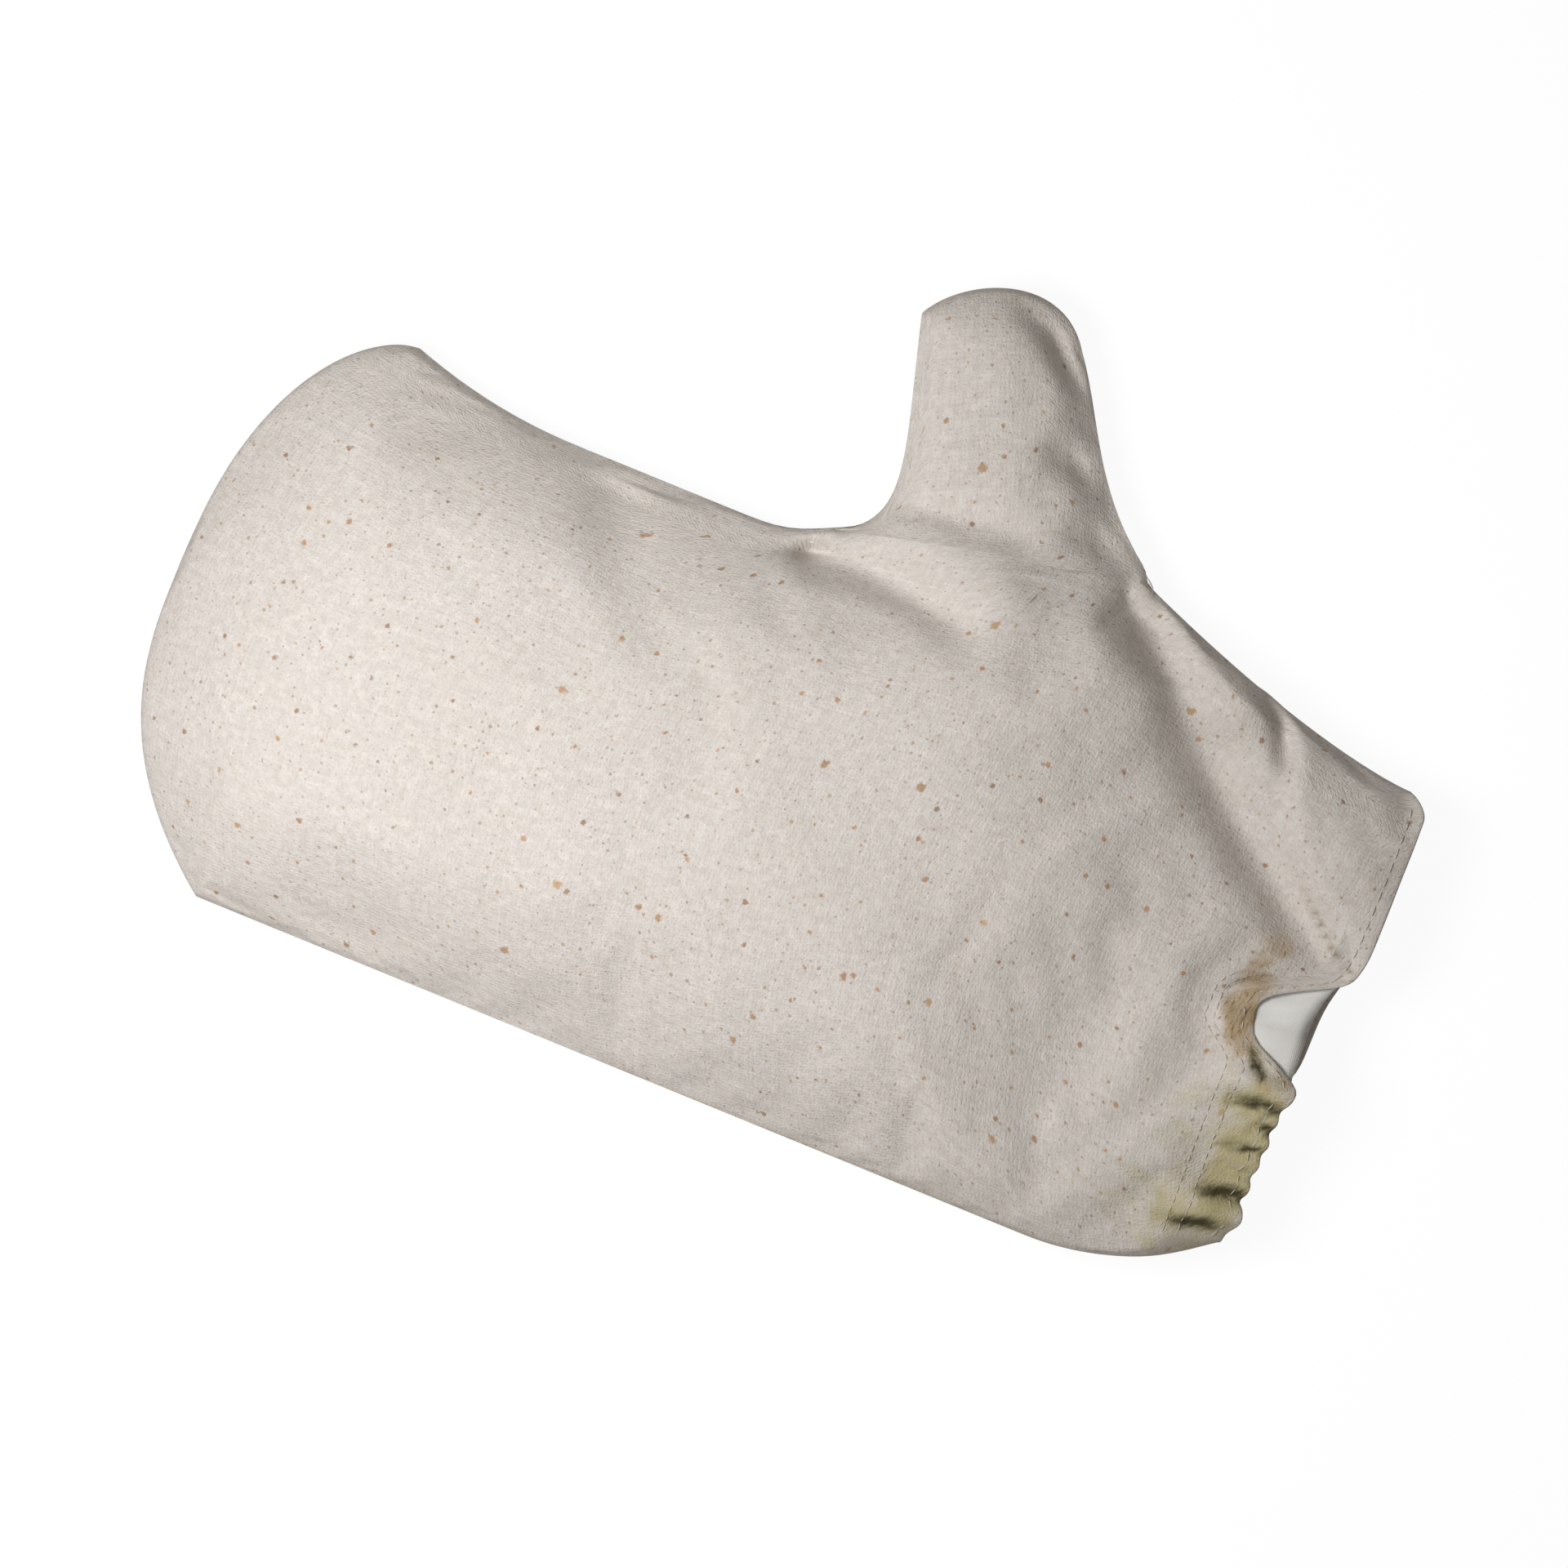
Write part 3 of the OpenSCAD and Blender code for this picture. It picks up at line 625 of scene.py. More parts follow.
def soil_and_shade(points, stains, slit_shades):
    """How brown, how green and how shaded the canvas is, for each point: stains where the cuff has been
    wetted and dried, browner along the flap's crease and in a thin line on the lower edge, and painted shade
    in the slits between the pleats and along the flap's crease, with a painted olive shade round the slits.
    """
    brown_at, green_at = stains["brown stain"][:2], stains["green stain"][:2]
    brown = blob(points, brown_at, (7, 16), 41) + 0.6 * blob(points, brown_at + [1, 17], (7, 7), 42)
    brown += 0.5 * blob(points, brown_at + [15, -15], (8, 5), 45)
    crease = near_path(points, FLAP[2:])[0]
    brown += 0.6 * np.exp(-((crease / 1.3) ** 2)) * step((points[:, 0] - 240) / 14)
    low_edge = step((points[:, 0] - 95) / 15) * step((236 - points[:, 0]) / 15) * (points[:, 1] < 4)
    brown += 0.55 * low_edge * np.exp(-((from_seam(points) / 0.7) ** 2))
    green = 0.45 * blob(points, green_at, (19, 31), 43) + 0.5 * blob(points, green_at + [6, 2], (8, 30), 46)
    green += 0.35 * blob(points, green_at - [12, 20], (20, 12), 44)
    # Painted shade: near black in the slits between the pleats, a painted olive shade round them added to the
    # green, and painted shade along the flap's crease.
    painted_shade = np.max([slit_shade(points, *values) for values in slit_shades.values()], axis=0)
    green += 0.5 * painted_shade**0.5
    painted_shade = np.maximum(painted_shade, 0.55 * np.exp(-((crease / 1.0) ** 2)) * step((points[:, 0] - 244) / 12))
    return {"brown": np.clip(brown, 0, 1), "green": np.clip(green, 0, 1), "painted_shade": painted_shade}


def mark(piece, values):
    """Stores a value per point for the material to read."""
    for name, value in values.items():
        piece.data.attributes.new(name, "FLOAT", "POINT").data.foreach_set("value", value)

# %% [markdown]
# ## The canvas of the palm side
# Its height is a sum: the roll over from the seam, the pad, the folds, the thumb's lean and the gathers. The
# cloth simulation loosens that, and the stains and the painted shade of the slits are set on the result.

# %% Canvas of the palm side
flat, (z, s) = grid["flat"], palm_height(grid)
pad = pad_rise(grid)
z = z + pad + palm_folds(flat, s) + thumb_lean(grid, z) + gathers(flat)
skin = np.column_stack([flat[:, 0] + frill(flat), flat[:, 1], z])
cloth_uv = weave_map(skin, grid)
canvas_palm = hemmed("canvas_palm_side", skin, grid, cloth_uv, 1)
held = np.ones(len(canvas_palm.data.vertices), bool)
held[: len(skin)] = grid["sewn"] | ((skin[:, 0] > CUFF_X - FRILL - 6) & (skin[:, 1] < 90))
settle(canvas_palm, held, frames=24, pressure=1.0, ease=0.007, cap=3.5)
skin = places(canvas_palm)[: len(skin)]
smooth_over(canvas_palm)
canvas_tree = tree_of(canvas_palm)
stains = {name: placed(canvas_tree, *pixel) for name, pixel in STAINS.items()}
slit_shades = {name: (placed(canvas_tree, x, y), *shape) for name, (x, y, *shape) in SLIT_SHADES.items()}
soiled_and_shaded = soil_and_shade(places(canvas_palm)[:, :2], stains, slit_shades)
mark(canvas_palm, soiled_and_shaded)
print("Canvas, mm high:", round(skin[:, 2].max(), 1))

# %% [markdown]
# ## The canvas of the back
# The back lies on the table, so it is the same outline with a flat bottom. It is seen from the side and from
# below. Its cuff edge is turned in as the other one is.

# %% Canvas of the back
back_grid = mitten_grid(tip_n=30, foot_n=20, wrist_n=20, rows_n=50, thumb_n=20)
back_flat, (bz, bs) = back_grid["flat"], back_height(back_grid)
bz = bz + 0.5 * np.abs(soft_noise(back_flat, 30, 8)) * step((bz - 0.2) / 3) * step((SEAM_H - bz) / 3)
back_skin = np.column_stack([back_flat[:, 0] - drawn_in(back_flat), back_flat[:, 1], bz])
canvas_back = hemmed("canvas_back", back_skin, back_grid, weave_map(back_skin, back_grid), -1)
back_soil_and_shade = soil_and_shade(places(canvas_back)[:, :2], stains, slit_shades)
# The back gets half of the soil and none of the painted shade.
mark(canvas_back, {name: 0.5 * value for name, value in back_soil_and_shade.items() if name != "painted_shade"})
smooth_over(canvas_back)

# %% [markdown]
# ## The lining
# The white lining lies under the canvas and ends just short of its edge. It could be a second simulation, but
# it follows the canvas closely, so it is the canvas's own points moved in by a ply and by the pad's height.


# %% Lining
PLY_INSET, LINING_SHORT = 2.2, 2.5  # how far it is drawn in, and how far it ends inside the cuff's edge


def inner_ply(g, skin_points, down, sign, back_off):
    """The same grid drawn in by PLY_INSET: each point goes where the canvas's point went, and down (or, with
    sign -1, up) from it by a ply's depth, which is 0 at the seam. Both plies are held by one seam."""
    small = mitten_grid(**g["counts"], inset=PLY_INSET)["flat"]
    s = from_seam(g["flat"])
    small += (g["flat"] - small) * step((s - 1) / 9)[:, None]
    moved = skin_points[:, :2] - g["flat"]
    depth = (CANVAS_T + LINING_T) * step(s / 2.5) + down
    moved[:, 0] -= back_off * near_cuff(g["flat"], 30)
    return np.column_stack([small + moved, skin_points[:, 2] - sign * depth])


def hill(points, centre, radii):
    """1 at the centre, falling off on all sides as a bell."""
    return np.exp(-(((points - centre) / radii) ** 2).sum(1))


puff = hill(flat, (260, 74), (9, 9))
dimple = hill(flat, (108, 134), (9, 7))
lining_pts = inner_ply(grid, skin, pad, 1, LINING_SHORT + frill(flat))
lining_pts[:, 2] -= 2.2 * dimple * step(s / 2.5)
lining_pts[:, 2] += 2.2 * puff + 0.4 * puff * soft_noise(flat, 8, 31)
lining_palm = make_piece("lining_palm_side", lining_pts, grid["faces"], weave_map(lining_pts, grid))
back_pts = inner_ply(back_grid, back_skin, 0, -1, LINING_SHORT)
back_pts[:, 2] += 0.5 * np.abs(soft_noise(back_flat, 24, 11)) * step((bs - 14) / 10)
lining_back = make_piece("lining_back", back_pts, back_grid["faces"][:, ::-1], weave_map(back_pts, back_grid))
for piece in (lining_palm, lining_back):
    ply = piece.modifiers.new("ply", "SOLIDIFY")
    ply.thickness, ply.offset = LINING_T / 1000, -1

# %% [markdown]
# ## Herb pouch
# Nothing of the pouch shows, but it is what makes this mitten a compress: two muslin sheets sewn round a thin
# filling of herbs, between canvas and lining. Its sheets are parts of the canvas's grid, moved in further.


# %% Pouch and filling
inner = grid["palm"]
along = grid["u"][inner[:, 0]] * CUFF_X
cols = np.flatnonzero((along > INSET) & (along < CUFF_X - STOP))
rows = np.flatnonzero(abs(grid["v"][inner[0]] - 0.5) * PALM_W < PALM_W / 2 - INSET)
pouch_index = inner[cols[0] : cols[-1] + 1, rows[0] : rows[-1] + 1][::2, ::2]
shape = pouch_index.shape
i, j = np.meshgrid(*(np.minimum(np.arange(n), np.arange(n)[::-1]) for n in shape), indexing="ij")
swell = step(np.minimum(i, j) / 4)
top = skin[pouch_index] - [0, 0, CANVAS_T + 2 * PLY_GAP]
low = skin[pouch_index]
low[..., 2] -= pad[pouch_index] + CANVAS_T - PLY_GAP
top = low + (top - low) * np.clip(swell, 0.06, 1)[..., None]


def closed_faces(shape):
    """Faces of a grid, of a second one under it, and of the wall between their four sides."""
    n = shape[0] * shape[1]
    index = np.arange(n).reshape(shape)
    rim = np.concatenate([index[:, 0], index[-1, 1:], index[-2::-1, -1], index[0, -2:0:-1]])
    nxt = np.roll(rim, -1)
    wall = np.stack([rim, rim + n, nxt + n, nxt], -1)
    return np.concatenate([quads(index), quads(index)[:, ::-1] + n, wall])


pouch_uv = cloth_uv[pouch_index].reshape(-1, 2)
pouch_faces = quads(np.arange(pouch_index.size).reshape(shape))
muslin_front = make_piece("muslin_front", top.reshape(-1, 3), pouch_faces, pouch_uv)
muslin_back = make_piece("muslin_back", low.reshape(-1, 3), pouch_faces, pouch_uv)
for piece, side in ((muslin_front, -1), (muslin_back, 1)):
    ply = piece.modifiers.new("ply", "SOLIDIFY")
    ply.thickness, ply.offset = MUSLIN_T / 1000, side
core = (slice(2, -2), slice(2, -2))
lumps = 0.35 * soft_noise(top[core].reshape(-1, 3)[:, :2], 7, 21)
herb_top = top[core].reshape(-1, 3).copy()
herb_top[:, 2] += 0.8 * lumps - MUSLIN_T - 0.5
herb_low = low[core].reshape(-1, 3) + [0, 0, MUSLIN_T + 0.1]
herb_top[:, 2] = np.maximum(herb_top[:, 2], herb_low[:, 2] + 0.3)
herbs = make_piece("herbs", np.concatenate([herb_top, herb_low]), closed_faces(top[core].shape[:2]))

# %% [markdown]
# ## Elastic
# A flat woven elastic with ribs along it is sewn on the inside of the lining, under the gathers. It is a
# strip over two parameters whose height has a small sine across it for the ribs.

# %% Elastic
EL_W, EL_T, EL_FROM = 6.0, 1.0, 0.05
EL_DEPTH, EL_DROP = 2.5, 1.6  # how deep its curve is inside the canvas's, and how far it hangs under that
t, w = np.meshgrid(np.linspace(0, 1, 61), np.linspace(0, 1, 15), indexing="ij")
strip_flat = palm(1 - (FRILL + EL_W * (1 - w)) / CUFF_X, EL_FROM + (GATHER - EL_FROM) * t).reshape(-1, 2)
s_el = from_seam(strip_flat)
strip_z = palm_rise(s_el, EL_DEPTH) + palm_folds(strip_flat, s_el) - EL_DROP
ribs = 0.12 * np.cos(w.ravel() * 6 * 2 * np.pi) + 0.1 * np.sin(t.ravel() * 80)
strip_top = np.column_stack([strip_flat, strip_z + ribs])
strip_low = np.column_stack([strip_flat, strip_z - EL_T - ribs])
elastic = make_piece("elastic", np.concatenate([strip_top, strip_low]), closed_faces(t.shape))

# %% [markdown]
# ## Sewing
# Every row of stitches is one mesh of short rounded bars. A bar is a ring carried along a short path, with
# the ring's radius from the sine of the way along it, so that it sinks into the cloth at both ends. Rows on
# the canvas are dropped onto it with rays.


# %% Stitches
def stitch_mesh(name, starts, ends, radius, bow):
    """One bar per start and end: rings of 6 points at 5 stations, thin at the ends, bowed out along bow."""
    n = len(starts)
    t = np.linspace(0, 1, 5)
    along = ends - starts
    ahead = along / np.linalg.norm(along, axis=1, keepdims=True)
    across = np.cross(ahead, bow)
    across /= np.linalg.norm(across, axis=1, keepdims=True)
    out = np.cross(across, ahead)
    bowed = out[:, None] * (radius * np.sin(np.pi * t))[:, None]
    middle = starts[:, None] + along[:, None] * t[:, None] + bowed
    a = np.linspace(0, 2 * np.pi, 7)[:-1]
    ring = across[:, None] * np.cos(a)[:, None] + out[:, None] * np.sin(a)[:, None]
    size = radius * (0.35 + 0.65 * np.sin(np.pi * t))
    points = middle[:, :, None] + ring[:, None] * size[:, None, None]
    index = np.arange(n * 30).reshape(n, 5, 6)
    nxt = np.roll(index, -1, 2)
    sides = np.stack([index[:, :-1], nxt[:, :-1], nxt[:, 1:], index[:, 1:]], -1).reshape(-1, 4)
    caps = np.concatenate([index[:, 0, ::-1], index[:, -1]])
    return make_piece(name, points.reshape(-1, 3), sides.tolist() + caps.tolist())


def at_lengths(path, run, at):
    """The places at some lengths along a path, run being the length up to each of its points."""
    return np.column_stack([np.interp(at, run, values) for values in path.T])


def resample(path, length, gap):
    """Start and end of each stitch along a path of points, the stitches evenly spread over its length."""
    run = np.concatenate([[0], np.cumsum(np.linalg.norm(np.diff(path, axis=0), axis=1))])
    count = int(round(run[-1] / (length + gap)))
    at = (np.arange(count) + 0.5) * run[-1] / count
    return at_lengths(path, run, at - length / 2), at_lengths(path, run, at + length / 2)


def drop_on(tree, flat_points, lift=0.15):
    """Each plan point set down on what the tree holds, from above, in the mitten's millimetres."""
    out = []
    for x, y in (flat_points - MIDDLE) / 1000:
        hit = tree.ray_cast(Vector((x, y, 0.2)), Vector((0, 0, -1)))[0]
        out.append((hit.z if hit else SEAM_H / 1000) * 1000 + lift)
    return np.column_stack([flat_points, out])


SEAM_STITCH, HEM_STITCH, ELASTIC_STITCH = (3.6, 1.4), (2.6, 1.2), (1.8, 0.9)  # lengths and gaps
UP = np.array([0.0, 0, 1])
ahead = np.gradient(seam_line, axis=0)
ahead /= np.linalg.norm(ahead, axis=1, keepdims=True)
seam_path = seam_line + np.stack([ahead[:, 1], -ahead[:, 0]], -1) * 0.9
for axis in (0, 1):
    seam_path[3:-3, axis] = np.convolve(seam_path[:, axis], np.full(7, 1 / 7), "valid")
seam_path[:, 0] -= drawn_in(seam_path)
rim = np.column_stack([seam_path, np.full(len(seam_line), SEAM_H)])
seam_thread = stitch_mesh("seam_thread", *resample(rim, *SEAM_STITCH), 0.22, UP)


def cuff_row(run, low, high, n=80):
    """A row of plan points at a distance from the cuff's own edge, which is pushed and pulled by frill()."""
    flat_row = palm(np.full(n, 1 - run / CUFF_X), np.linspace(low, high, n))
    return flat_row + np.column_stack([frill(flat_row), np.zeros(n)])


hem_row = drop_on(canvas_tree, cuff_row(3.0, 0.02, 0.97))
hem_thread = stitch_mesh("hem_thread_palm_side", *resample(hem_row, *HEM_STITCH), 0.14, UP)
elastic_rows = [
    resample(drop_on(canvas_tree, cuff_row(run, EL_FROM, 0.55)), *ELASTIC_STITCH)
    for run in (FRILL + 1, FRILL + EL_W - 1)
]
elastic_thread = stitch_mesh("elastic_thread", *(np.concatenate(e) for e in zip(*elastic_rows)), 0.12, UP)
back_row = palm(np.full(60, 1 - 3 / CUFF_X), np.linspace(0.16, 0.84, 60))
back_row = np.column_stack([back_row, np.full(60, 0.12)])
hem_back = stitch_mesh("hem_thread_back", *resample(back_row, *HEM_STITCH), 0.2, -UP)
pouch_edge = np.concatenate([top[:, 1], top[-2, 1:], top[-2::-1, -2], top[1, -2:0:-1]]) + [0, 0, 0.2]
pouch_thread = stitch_mesh("pouch_thread", *resample(pouch_edge, *SEAM_STITCH), 0.28, UP)

# %% [markdown]
# ## What each piece stands for
# Each piece here takes the place of one CAD solid and rides on its body.

# %% What stands for what
stands_for = {
    canvas_palm: ("front_canvas", "canvas"), canvas_back: ("back_canvas", "canvas"),
    lining_palm: ("front_lining", "lining"), lining_back: ("back_lining", "lining"),
    elastic: ("wrist_elastic", "elastic"), muslin_front: ("pouch_front", "muslin"),
    muslin_back: ("pouch_back", "muslin"), herbs: ("herb_filling", "herbs"),
    seam_thread: ("outline_seam_thread", "thread"), pouch_thread: ("pouch_seam_thread", "thread"),
    hem_thread: ("front_hem_thread", "thread"), hem_back: ("back_hem_thread", "thread"),
    elastic_thread: ("elastic_thread", "thread"),
}
for piece, (node, slot) in stands_for.items():
    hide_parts(node)
    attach(piece, "root")


# %% [markdown]
# ## Finishes
# The canvas is undyed cotton in a plain weave: pale, matt and warm, with thick and thin threads and specks of
# seed. A photograph would be the quick way to such a cloth, but here it is nodes: two sets of bumps that take
# turns over and under each other, long noises along each thread for the slubs, and Voronoi cells for specks.
# The pattern follows the cloth's own coordinates, in metres, so it doesn't slide over the folds.


# %% Node helpers
class Nodes:
    """A material's node tree with short ways to add the nodes that are used here."""

    def __init__(self, name):
        self.material = bpy.data.materials.new(name)
        self.material.use_nodes = True
        self.tree = self.material.node_tree
        self.shader = self.tree.nodes["Principled BSDF"]

    def node(self, kind, **values):
        made = self.tree.nodes.new(kind)
        for key, value in values.items():
            setattr(made, key, value)
        return made

    def link(self, value, socket):
        if isinstance(value, bpy.types.NodeSocket):
            self.tree.links.new(value, socket)
        else:
            socket.default_value = value

    def math(self, what, a, b=0.0, c=0.0, clamp=False):
        made = self.node("ShaderNodeMath", operation=what, use_clamp=clamp)
        for socket, value in zip(made.inputs, (a, b, c)):
            self.link(value, socket)
        return made.outputs[0]

    def ramp(self, value, low, high):
        """0 where value is low and 1 where it is high, with a smooth way between. low may be above high."""
        made = self.node("ShaderNodeMapRange", interpolation_type="SMOOTHSTEP")
        self.link(value, made.inputs["Value"])
        flip = low > high
        made.inputs["From Min"].default_value, made.inputs["From Max"].default_value = sorted((low, high))
        made.inputs["To Min"].default_value, made.inputs["To Max"].default_value = (1, 0) if flip else (0, 1)
        return made.outputs["Result"]

    def noise(self, where, scale, detail=2.0, roughness=0.5):
        made = self.node("ShaderNodeTexNoise")
        self.link(where, made.inputs["Vector"])
        made.inputs["Scale"].default_value, made.inputs["Detail"].default_value = scale, detail
        made.inputs["Roughness"].default_value = roughness
        return made.outputs["Fac"]

    def stretched(self, where, x, y, z=1.0):
        made = self.node("ShaderNodeVectorMath", operation="MULTIPLY")
        self.link(where, made.inputs[0])
        made.inputs[1].default_value = (x, y, z)
        return made.outputs[0]

    def blend(self, amount, a, b, how="MIX"):
        made = self.node("ShaderNodeMix", data_type="RGBA", blend_type=how)
        self.link(amount, made.inputs[0])
        self.link(a, made.inputs[6])
        self.link(b, made.inputs[7])
        return made.outputs[2]

    def lay(self, colour, tone, amount, strength):
        """The colour with a tone laid over it where amount is 1, as strongly as strength says."""
        return self.blend(self.math("MULTIPLY", amount, strength), colour, tone)

    def cloth(self):
        """The piece's cloth coordinates, in metres."""
        return self.node("ShaderNodeUVMap", uv_map="cloth").outputs[0]

    def place(self):
        return self.node("ShaderNodeTexCoord").outputs["Object"]

    def finish(self, colour, rough, normal, gloss=0.5):
        """Joins colour and relief to the shader, sets its roughness and gloss, and gives the material."""
        self.link(colour, self.shader.inputs["Base Color"])
        self.shader.inputs["Roughness"].default_value = rough
        self.shader.inputs["Specular IOR Level"].default_value = gloss
        self.link(normal, self.shader.inputs["Normal"])
        return self.material

    def bump(self, height, strength, distance, under=None):
        made = self.node("ShaderNodeBump")
        self.link(height, made.inputs["Height"])
        made.inputs["Strength"].default_value, made.inputs["Distance"].default_value = strength, distance
        if under is not None:
            self.link(under, made.inputs["Normal"])
        return made.outputs[0]


def plain_weave(n, where, pitch):
    """Height 0 to 1 of a plain weave: each set of threads is a rounded ridge, high where it goes over. The
    two sets take turns by the sign of one sine times the other, at a period of two threads."""
    split = n.node("ShaderNodeSeparateXYZ")
    n.link(where, split.inputs[0])
    wobble = n.noise(where, 320.0, 2.0)
    shift = n.math("MULTIPLY", n.math("SUBTRACT", wobble, 0.5), 2.6)
    turn = [n.math("ADD", n.math("MULTIPLY", split.outputs[i], math.pi / pitch), shift) for i in (0, 1)]
    sines = [n.math("SINE", t) for t in turn]
    ridge = [n.math("POWER", n.math("ABSOLUTE", s), 0.7) for s in sines]
    over = [n.math("COSINE", t) for t in turn]
    sign = n.math("MULTIPLY", over[0], over[1])
    upper = n.ramp(sign, -0.35, 0.35)
    first = n.math("MULTIPLY", ridge[0], upper)
    second = n.math("MULTIPLY", ridge[1], n.math("SUBTRACT", 1.0, upper))
    return n.math("ADD", first, second)


def specks(n, where, cell, size, share, seed):
    """1 inside small uneven spots and a tone for each: Voronoi cells, of which a share holds a spot of up to
    a size, in metres."""
    moved = n.node("ShaderNodeVectorMath", operation="ADD")
    n.link(where, moved.inputs[0])
    moved.inputs[1].default_value = (seed * 0.37, seed * 0.71, 0)
    cells = n.node("ShaderNodeTexVoronoi", voronoi_dimensions="2D", feature="F1")
    n.link(moved.outputs[0], cells.inputs["Vector"])
    cells.inputs["Scale"].default_value = 1 / cell
    pick = n.node("ShaderNodeSeparateColor")
    n.link(cells.outputs["Color"], pick.inputs[0])
    wanted = n.math("LESS_THAN", pick.outputs[0], share)
    grown = n.math("POWER", pick.outputs[1], 1.6)
    reach = n.math("MULTIPLY", n.math("ADD", grown, 0.3), size / cell)
    ragged = n.math("MULTIPLY", n.math("SUBTRACT", n.noise(where, 0.9 / size, 2.0), 0.5), 1.9 * size / cell)
    inside = n.math("SUBTRACT", reach, n.math("ADD", cells.outputs["Distance"], ragged))
    return n.math("MULTIPLY", wanted, n.ramp(inside, -0.1 * size / cell, 0.6 * size / cell)), pick.outputs[2]

# %% [markdown]
# ## The canvas's look
# Its colour is laid on in layers: mottle, slubs, painted shade between the weave's threads, grain and clouds,
# then four kinds of specks and longer dashes of seed, then the soil and the painted shade of the slits and
# the crease from the values that the mesh carries. Each layer is a pattern, a range of it and a colour, so
# that one can be changed without the others.


# %% Canvas and the other finishes
def canvas_material():
    """Undyed canvas with seed specks, soil, painted shade between its threads, and painted shade in the slits
    between the pleats and along the flap's crease.
    """
    n = Nodes("undyed_canvas")
    where = n.cloth()
    weave = plain_weave(n, where, 0.00115)
    slubs = n.math("ADD", *(n.noise(n.stretched(where, *scale), 1.0) for scale in ((900, 55), (55, 900))))
    mottle, grain = n.noise(where, 420.0, 3.0, 0.65), n.noise(where, 1500.0, 2.0, 0.7)
    tint, cloud = n.noise(where, 170.0, 2.0), n.noise(where, 26.0, 3.0)
    colour = n.blend(n.ramp(mottle, 0.3, 0.7), (0.670, 0.615, 0.575, 1), (0.800, 0.750, 0.710, 1))
    layers = [  # pattern, where it is 0 and 1, strength and colour
        (tint, 0.4, 0.62, 0.40, (0.705, 0.670, 0.650, 1)),
        (slubs, 1.05, 0.75, 0.22, (0.600, 0.535, 0.460, 1)),
        # Painted shade between the threads of the weave.
        (weave, 0.7, 0.1, 0.12, (0.520, 0.460, 0.390, 1)),
        (grain, 0.55, 0.3, 0.34, (0.500, 0.450, 0.390, 1)),
        (cloud, 0.4, 0.7, 0.14, (0.600, 0.550, 0.470, 1)),
    ]
    for pattern, none, full, strength, tone in layers:
        colour = n.lay(colour, tone, n.ramp(pattern, none, full), strength)
    kinds = [  # cell, size, share, seed, strength and two colours
        (0.0024, 0.00033, 0.60, 1, 0.50, (0.18, 0.16, 0.14, 1), (0.36, 0.29, 0.22, 1)),
        (0.0045, 0.00044, 0.55, 2, 0.60, (0.28, 0.14, 0.06, 1), (0.46, 0.30, 0.16, 1)),
        (0.0090, 0.00072, 0.60, 3, 0.75, (0.26, 0.12, 0.05, 1), (0.52, 0.27, 0.10, 1)),
        (0.0230, 0.00105, 0.60, 5, 0.72, (0.34, 0.15, 0.05, 1), (0.56, 0.31, 0.11, 1)),
    ]
    for cell, size, share, seed, strength, low_tone, high_tone in kinds:
        spot, tone = specks(n, where, cell, size, share, seed)
        colour = n.lay(colour, n.blend(tone, low_tone, high_tone), spot, strength)
    dash = specks(n, n.stretched(where, 1, 0.22), 0.022, 0.0005, 0.3, 4)[0]
    colour = n.lay(colour, (0.24, 0.18, 0.13, 1), dash, 0.6)
    patchy = n.math("MULTIPLY", n.math("SUBTRACT", n.noise(where, 240.0, 4.0, 0.75), 0.5), 1.9)
    # Green and brown soil, then painted shade, near black, in the slits between the pleats and along the
    # flap's crease.
    for name, share, tone in (("green", 0.82, (0.52, 0.45, 0.20, 1)), ("brown", 0.74, (0.42, 0.27, 0.10, 1)),
                              ("painted_shade", 0.95, (0.060, 0.050, 0.020, 1))):
        amount = n.node("ShaderNodeAttribute", attribute_name=name).outputs["Fac"]
        uneven = n.math("ADD", amount, n.math("MULTIPLY", patchy, n.math("MINIMUM", amount, 0.6)))
        spread = n.ramp(uneven, 0.15, 0.95) if name == "painted_shade" else n.ramp(uneven, 0.1, 1.15)
        colour = n.lay(colour, tone, spread, share)
        if name == "brown":
            streak = n.ramp(n.noise(n.stretched(where, 900, 260), 1.0, 3.0, 0.7), 0.5, 0.68)
            core = n.math("MULTIPLY", n.ramp(amount, 0.35, 1.0), streak)
            colour = n.lay(colour, (0.17, 0.10, 0.035, 1), core, 0.8)
    relief = n.bump(grain, 0.7, 0.00030, n.bump(mottle, 0.5, 0.0005))
    return n.finish(colour, 0.94, n.bump(weave, 0.45, 0.00016, relief), 0.15)


def plain_cloth(name, colour, painted_shade, pitch):
    """A plain weave of one colour, with painted shade between its threads."""
    n = Nodes(name)
    weave = plain_weave(n, n.cloth(), pitch)
    shade = n.blend(n.ramp(weave, 0.7, 0.1), (*colour, 1), (*painted_shade, 1))
    return n.finish(shade, 0.9, n.bump(weave, 0.6, pitch * 0.2), 0.2)


def solid_finish(name, low, high, scale, rough):
    """A matt finish whose colour goes between two tones by a noise on the piece's own place."""
    n = Nodes(name)
    tone = n.noise(n.place(), scale, 3.0)
    shade = n.blend(n.ramp(tone, 0.35, 0.65), (*low, 1), (*high, 1))
    return n.finish(shade, rough, n.bump(tone, 0.5, 0.0008))


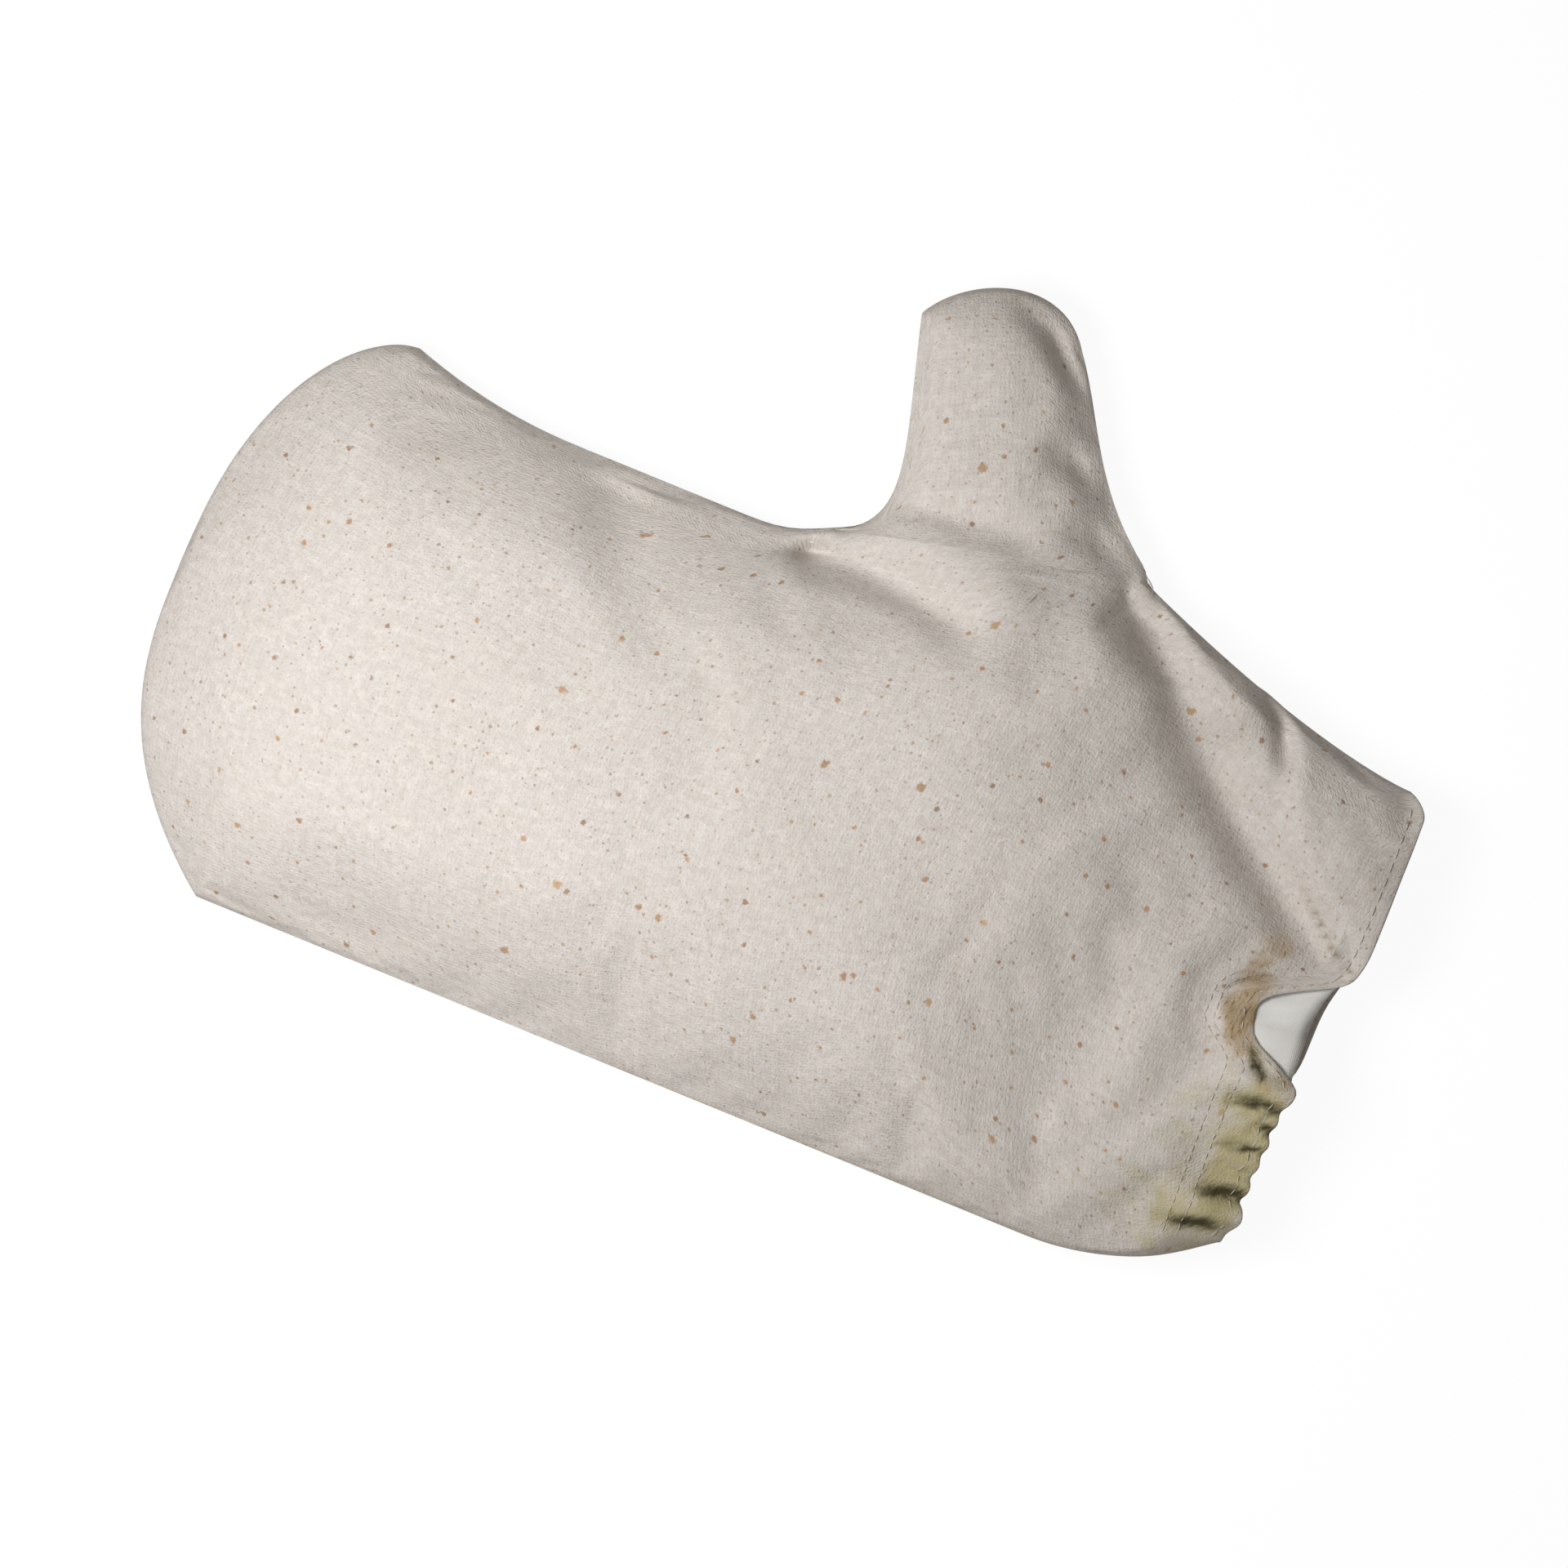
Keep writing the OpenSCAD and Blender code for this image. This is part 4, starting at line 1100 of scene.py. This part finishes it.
finishes = {
    "canvas": canvas_material(),
    "lining": plain_cloth("white_lining", (0.93, 0.92, 0.90), (0.80, 0.78, 0.75), 0.0005),
    "muslin": plain_cloth("muslin", (0.74, 0.70, 0.60), (0.40, 0.36, 0.28), 0.0009),
    "herbs": solid_finish("dried_herbs", (0.10, 0.09, 0.03), (0.38, 0.33, 0.14), 420.0, 0.95),
    "elastic": solid_finish("woven_elastic", (0.78, 0.78, 0.76), (0.88, 0.88, 0.86), 900.0, 0.7),
    "thread": solid_finish("sewing_thread", (0.66, 0.60, 0.53), (0.76, 0.70, 0.63), 2500.0, 0.8),
}
for piece, (node, slot) in stands_for.items():
    piece.data.materials.clear()
    piece.data.materials.append(finishes[slot])

# %% [markdown]
# ## Table and light
# The photo is taken on white, with soft light from beyond the fingertips. The table shows white to the camera
# by Light Path and keeps a little of the mitten's shadow.


# %% Table and light
bpy.ops.mesh.primitive_plane_add(size=6, location=(0, 0, -0.0004))
table_top = bpy.context.object
table_top.name = "table_top"
table_top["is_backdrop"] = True
GLOW, GLOW_SHARE = 1.06, 0.88  # how bright the white is, and how much of it covers the shadow
n = Nodes("white_table")
n.shader.inputs["Base Color"].default_value = (0.9, 0.9, 0.9, 1)
n.shader.inputs["Roughness"].default_value = 0.9
glow = n.node("ShaderNodeEmission")
glow.inputs["Strength"].default_value = GLOW
path = n.node("ShaderNodeLightPath")
rays = [path.outputs[f"Is {kind} Ray"] for kind in ("Camera", "Glossy", "Transmission")]
direct = n.math("MAXIMUM", n.math("MAXIMUM", rays[0], rays[1]), rays[2])
mix = n.node("ShaderNodeMixShader")
n.link(n.math("MULTIPLY", direct, GLOW_SHARE), mix.inputs[0])
n.link(n.shader.outputs[0], mix.inputs[1])
n.link(glow.outputs[0], mix.inputs[2])
n.link(mix.outputs[0], n.tree.nodes["Material Output"].inputs["Surface"])
table_top.data.materials.append(n.material)


def soft_light(name, place, size, watts):
    """A square area lamp at a place in metres, turned to the middle of the mitten."""
    data = bpy.data.lights.new(name, "AREA")
    data.size, data.energy = size, watts
    lamp = bpy.data.objects.new(name, data)
    lamp.location = place
    lamp.rotation_euler = (-Vector(place)).to_track_quat("-Z", "Y").to_euler()
    lamp.visible_camera = False
    bpy.context.collection.objects.link(lamp)


soft_light("window", (-0.145, -0.045, 0.38), 0.2, 1.42)
soft_light("room", (-0.7, -0.2, 0.9), 0.9, 0.45)
world = bpy.data.worlds.new("studio")
bpy.context.scene.world = world
world.use_nodes = True
world.node_tree.nodes["Background"].inputs[0].default_value = (1.0, 0.95, 0.84, 1)
world.node_tree.nodes["Background"].inputs[1].default_value = 0.17

# %% [markdown]
# ## Check of the points
# Each named point is set against what the finished pieces show there, worked out with the ray's formula
# turned round. It would be simpler to look at the render, but a list of pixels says at once what is off.

# %% How far each thing shows from its point
outer = [places(piece, finished=True) for piece in (canvas_palm, canvas_back, lining_back)]
outer = shown(np.concatenate(outer))
(left, top_y), (right, bottom) = outer.min(0), outer.max(0)
seen = {"left": left, "right": right, "top": top_y, "bottom": bottom}
off = {name: float(seen[name] - at) for name, at in EDGES.items()}
tip_n, foot_n = grid["counts"]["tip_n"], grid["counts"]["foot_n"]
corner_index = {
    "finger corner": grid["palm"][0, -1], "lower corner": grid["palm"][0, 0],
    "thumb corner": grid["thumb"][0, -1], "web": grid["palm"][tip_n, -1],
    "thumb heel": grid["palm"][tip_n + foot_n, -1], "cuff corner": grid["palm"][-1, -1],
}
finished_skin = places(canvas_palm, finished=True)[: len(skin)]
for name, index in corner_index.items():
    off[name] = (shown(finished_skin[[index]])[0] - CORNERS[name]).tolist()
for name, kind in (("brown stain", "brown"), ("green stain", "green")):
    near = np.linalg.norm(finished_skin[:, :2] - stains[name][:2], axis=1) < 6
    weight = (soiled_and_shaded[kind][: len(skin)] * near)[:, None]
    off[name] = (shown((finished_skin * weight).sum(0)[None] / weight.sum())[0] - STAINS[name]).tolist()
for name, values in slit_shades.items():
    weight = slit_shade(finished_skin[:, :2], *values)[:, None] ** 2
    off[name] = (shown((finished_skin * weight).sum(0)[None] / weight.sum())[0] - SLIT_SHADES[name][:2]).tolist()
print("Furthest point, pixels:", round(max(float(np.abs(v).max()) for v in off.values()), 1))

# %% [markdown]
# ## Finish
# The box of what is seen is printed.

# %% Finish
low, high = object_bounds()
print("Visual box, mm:", [round(1000 * (b - a), 1) for a, b in zip(low, high)])
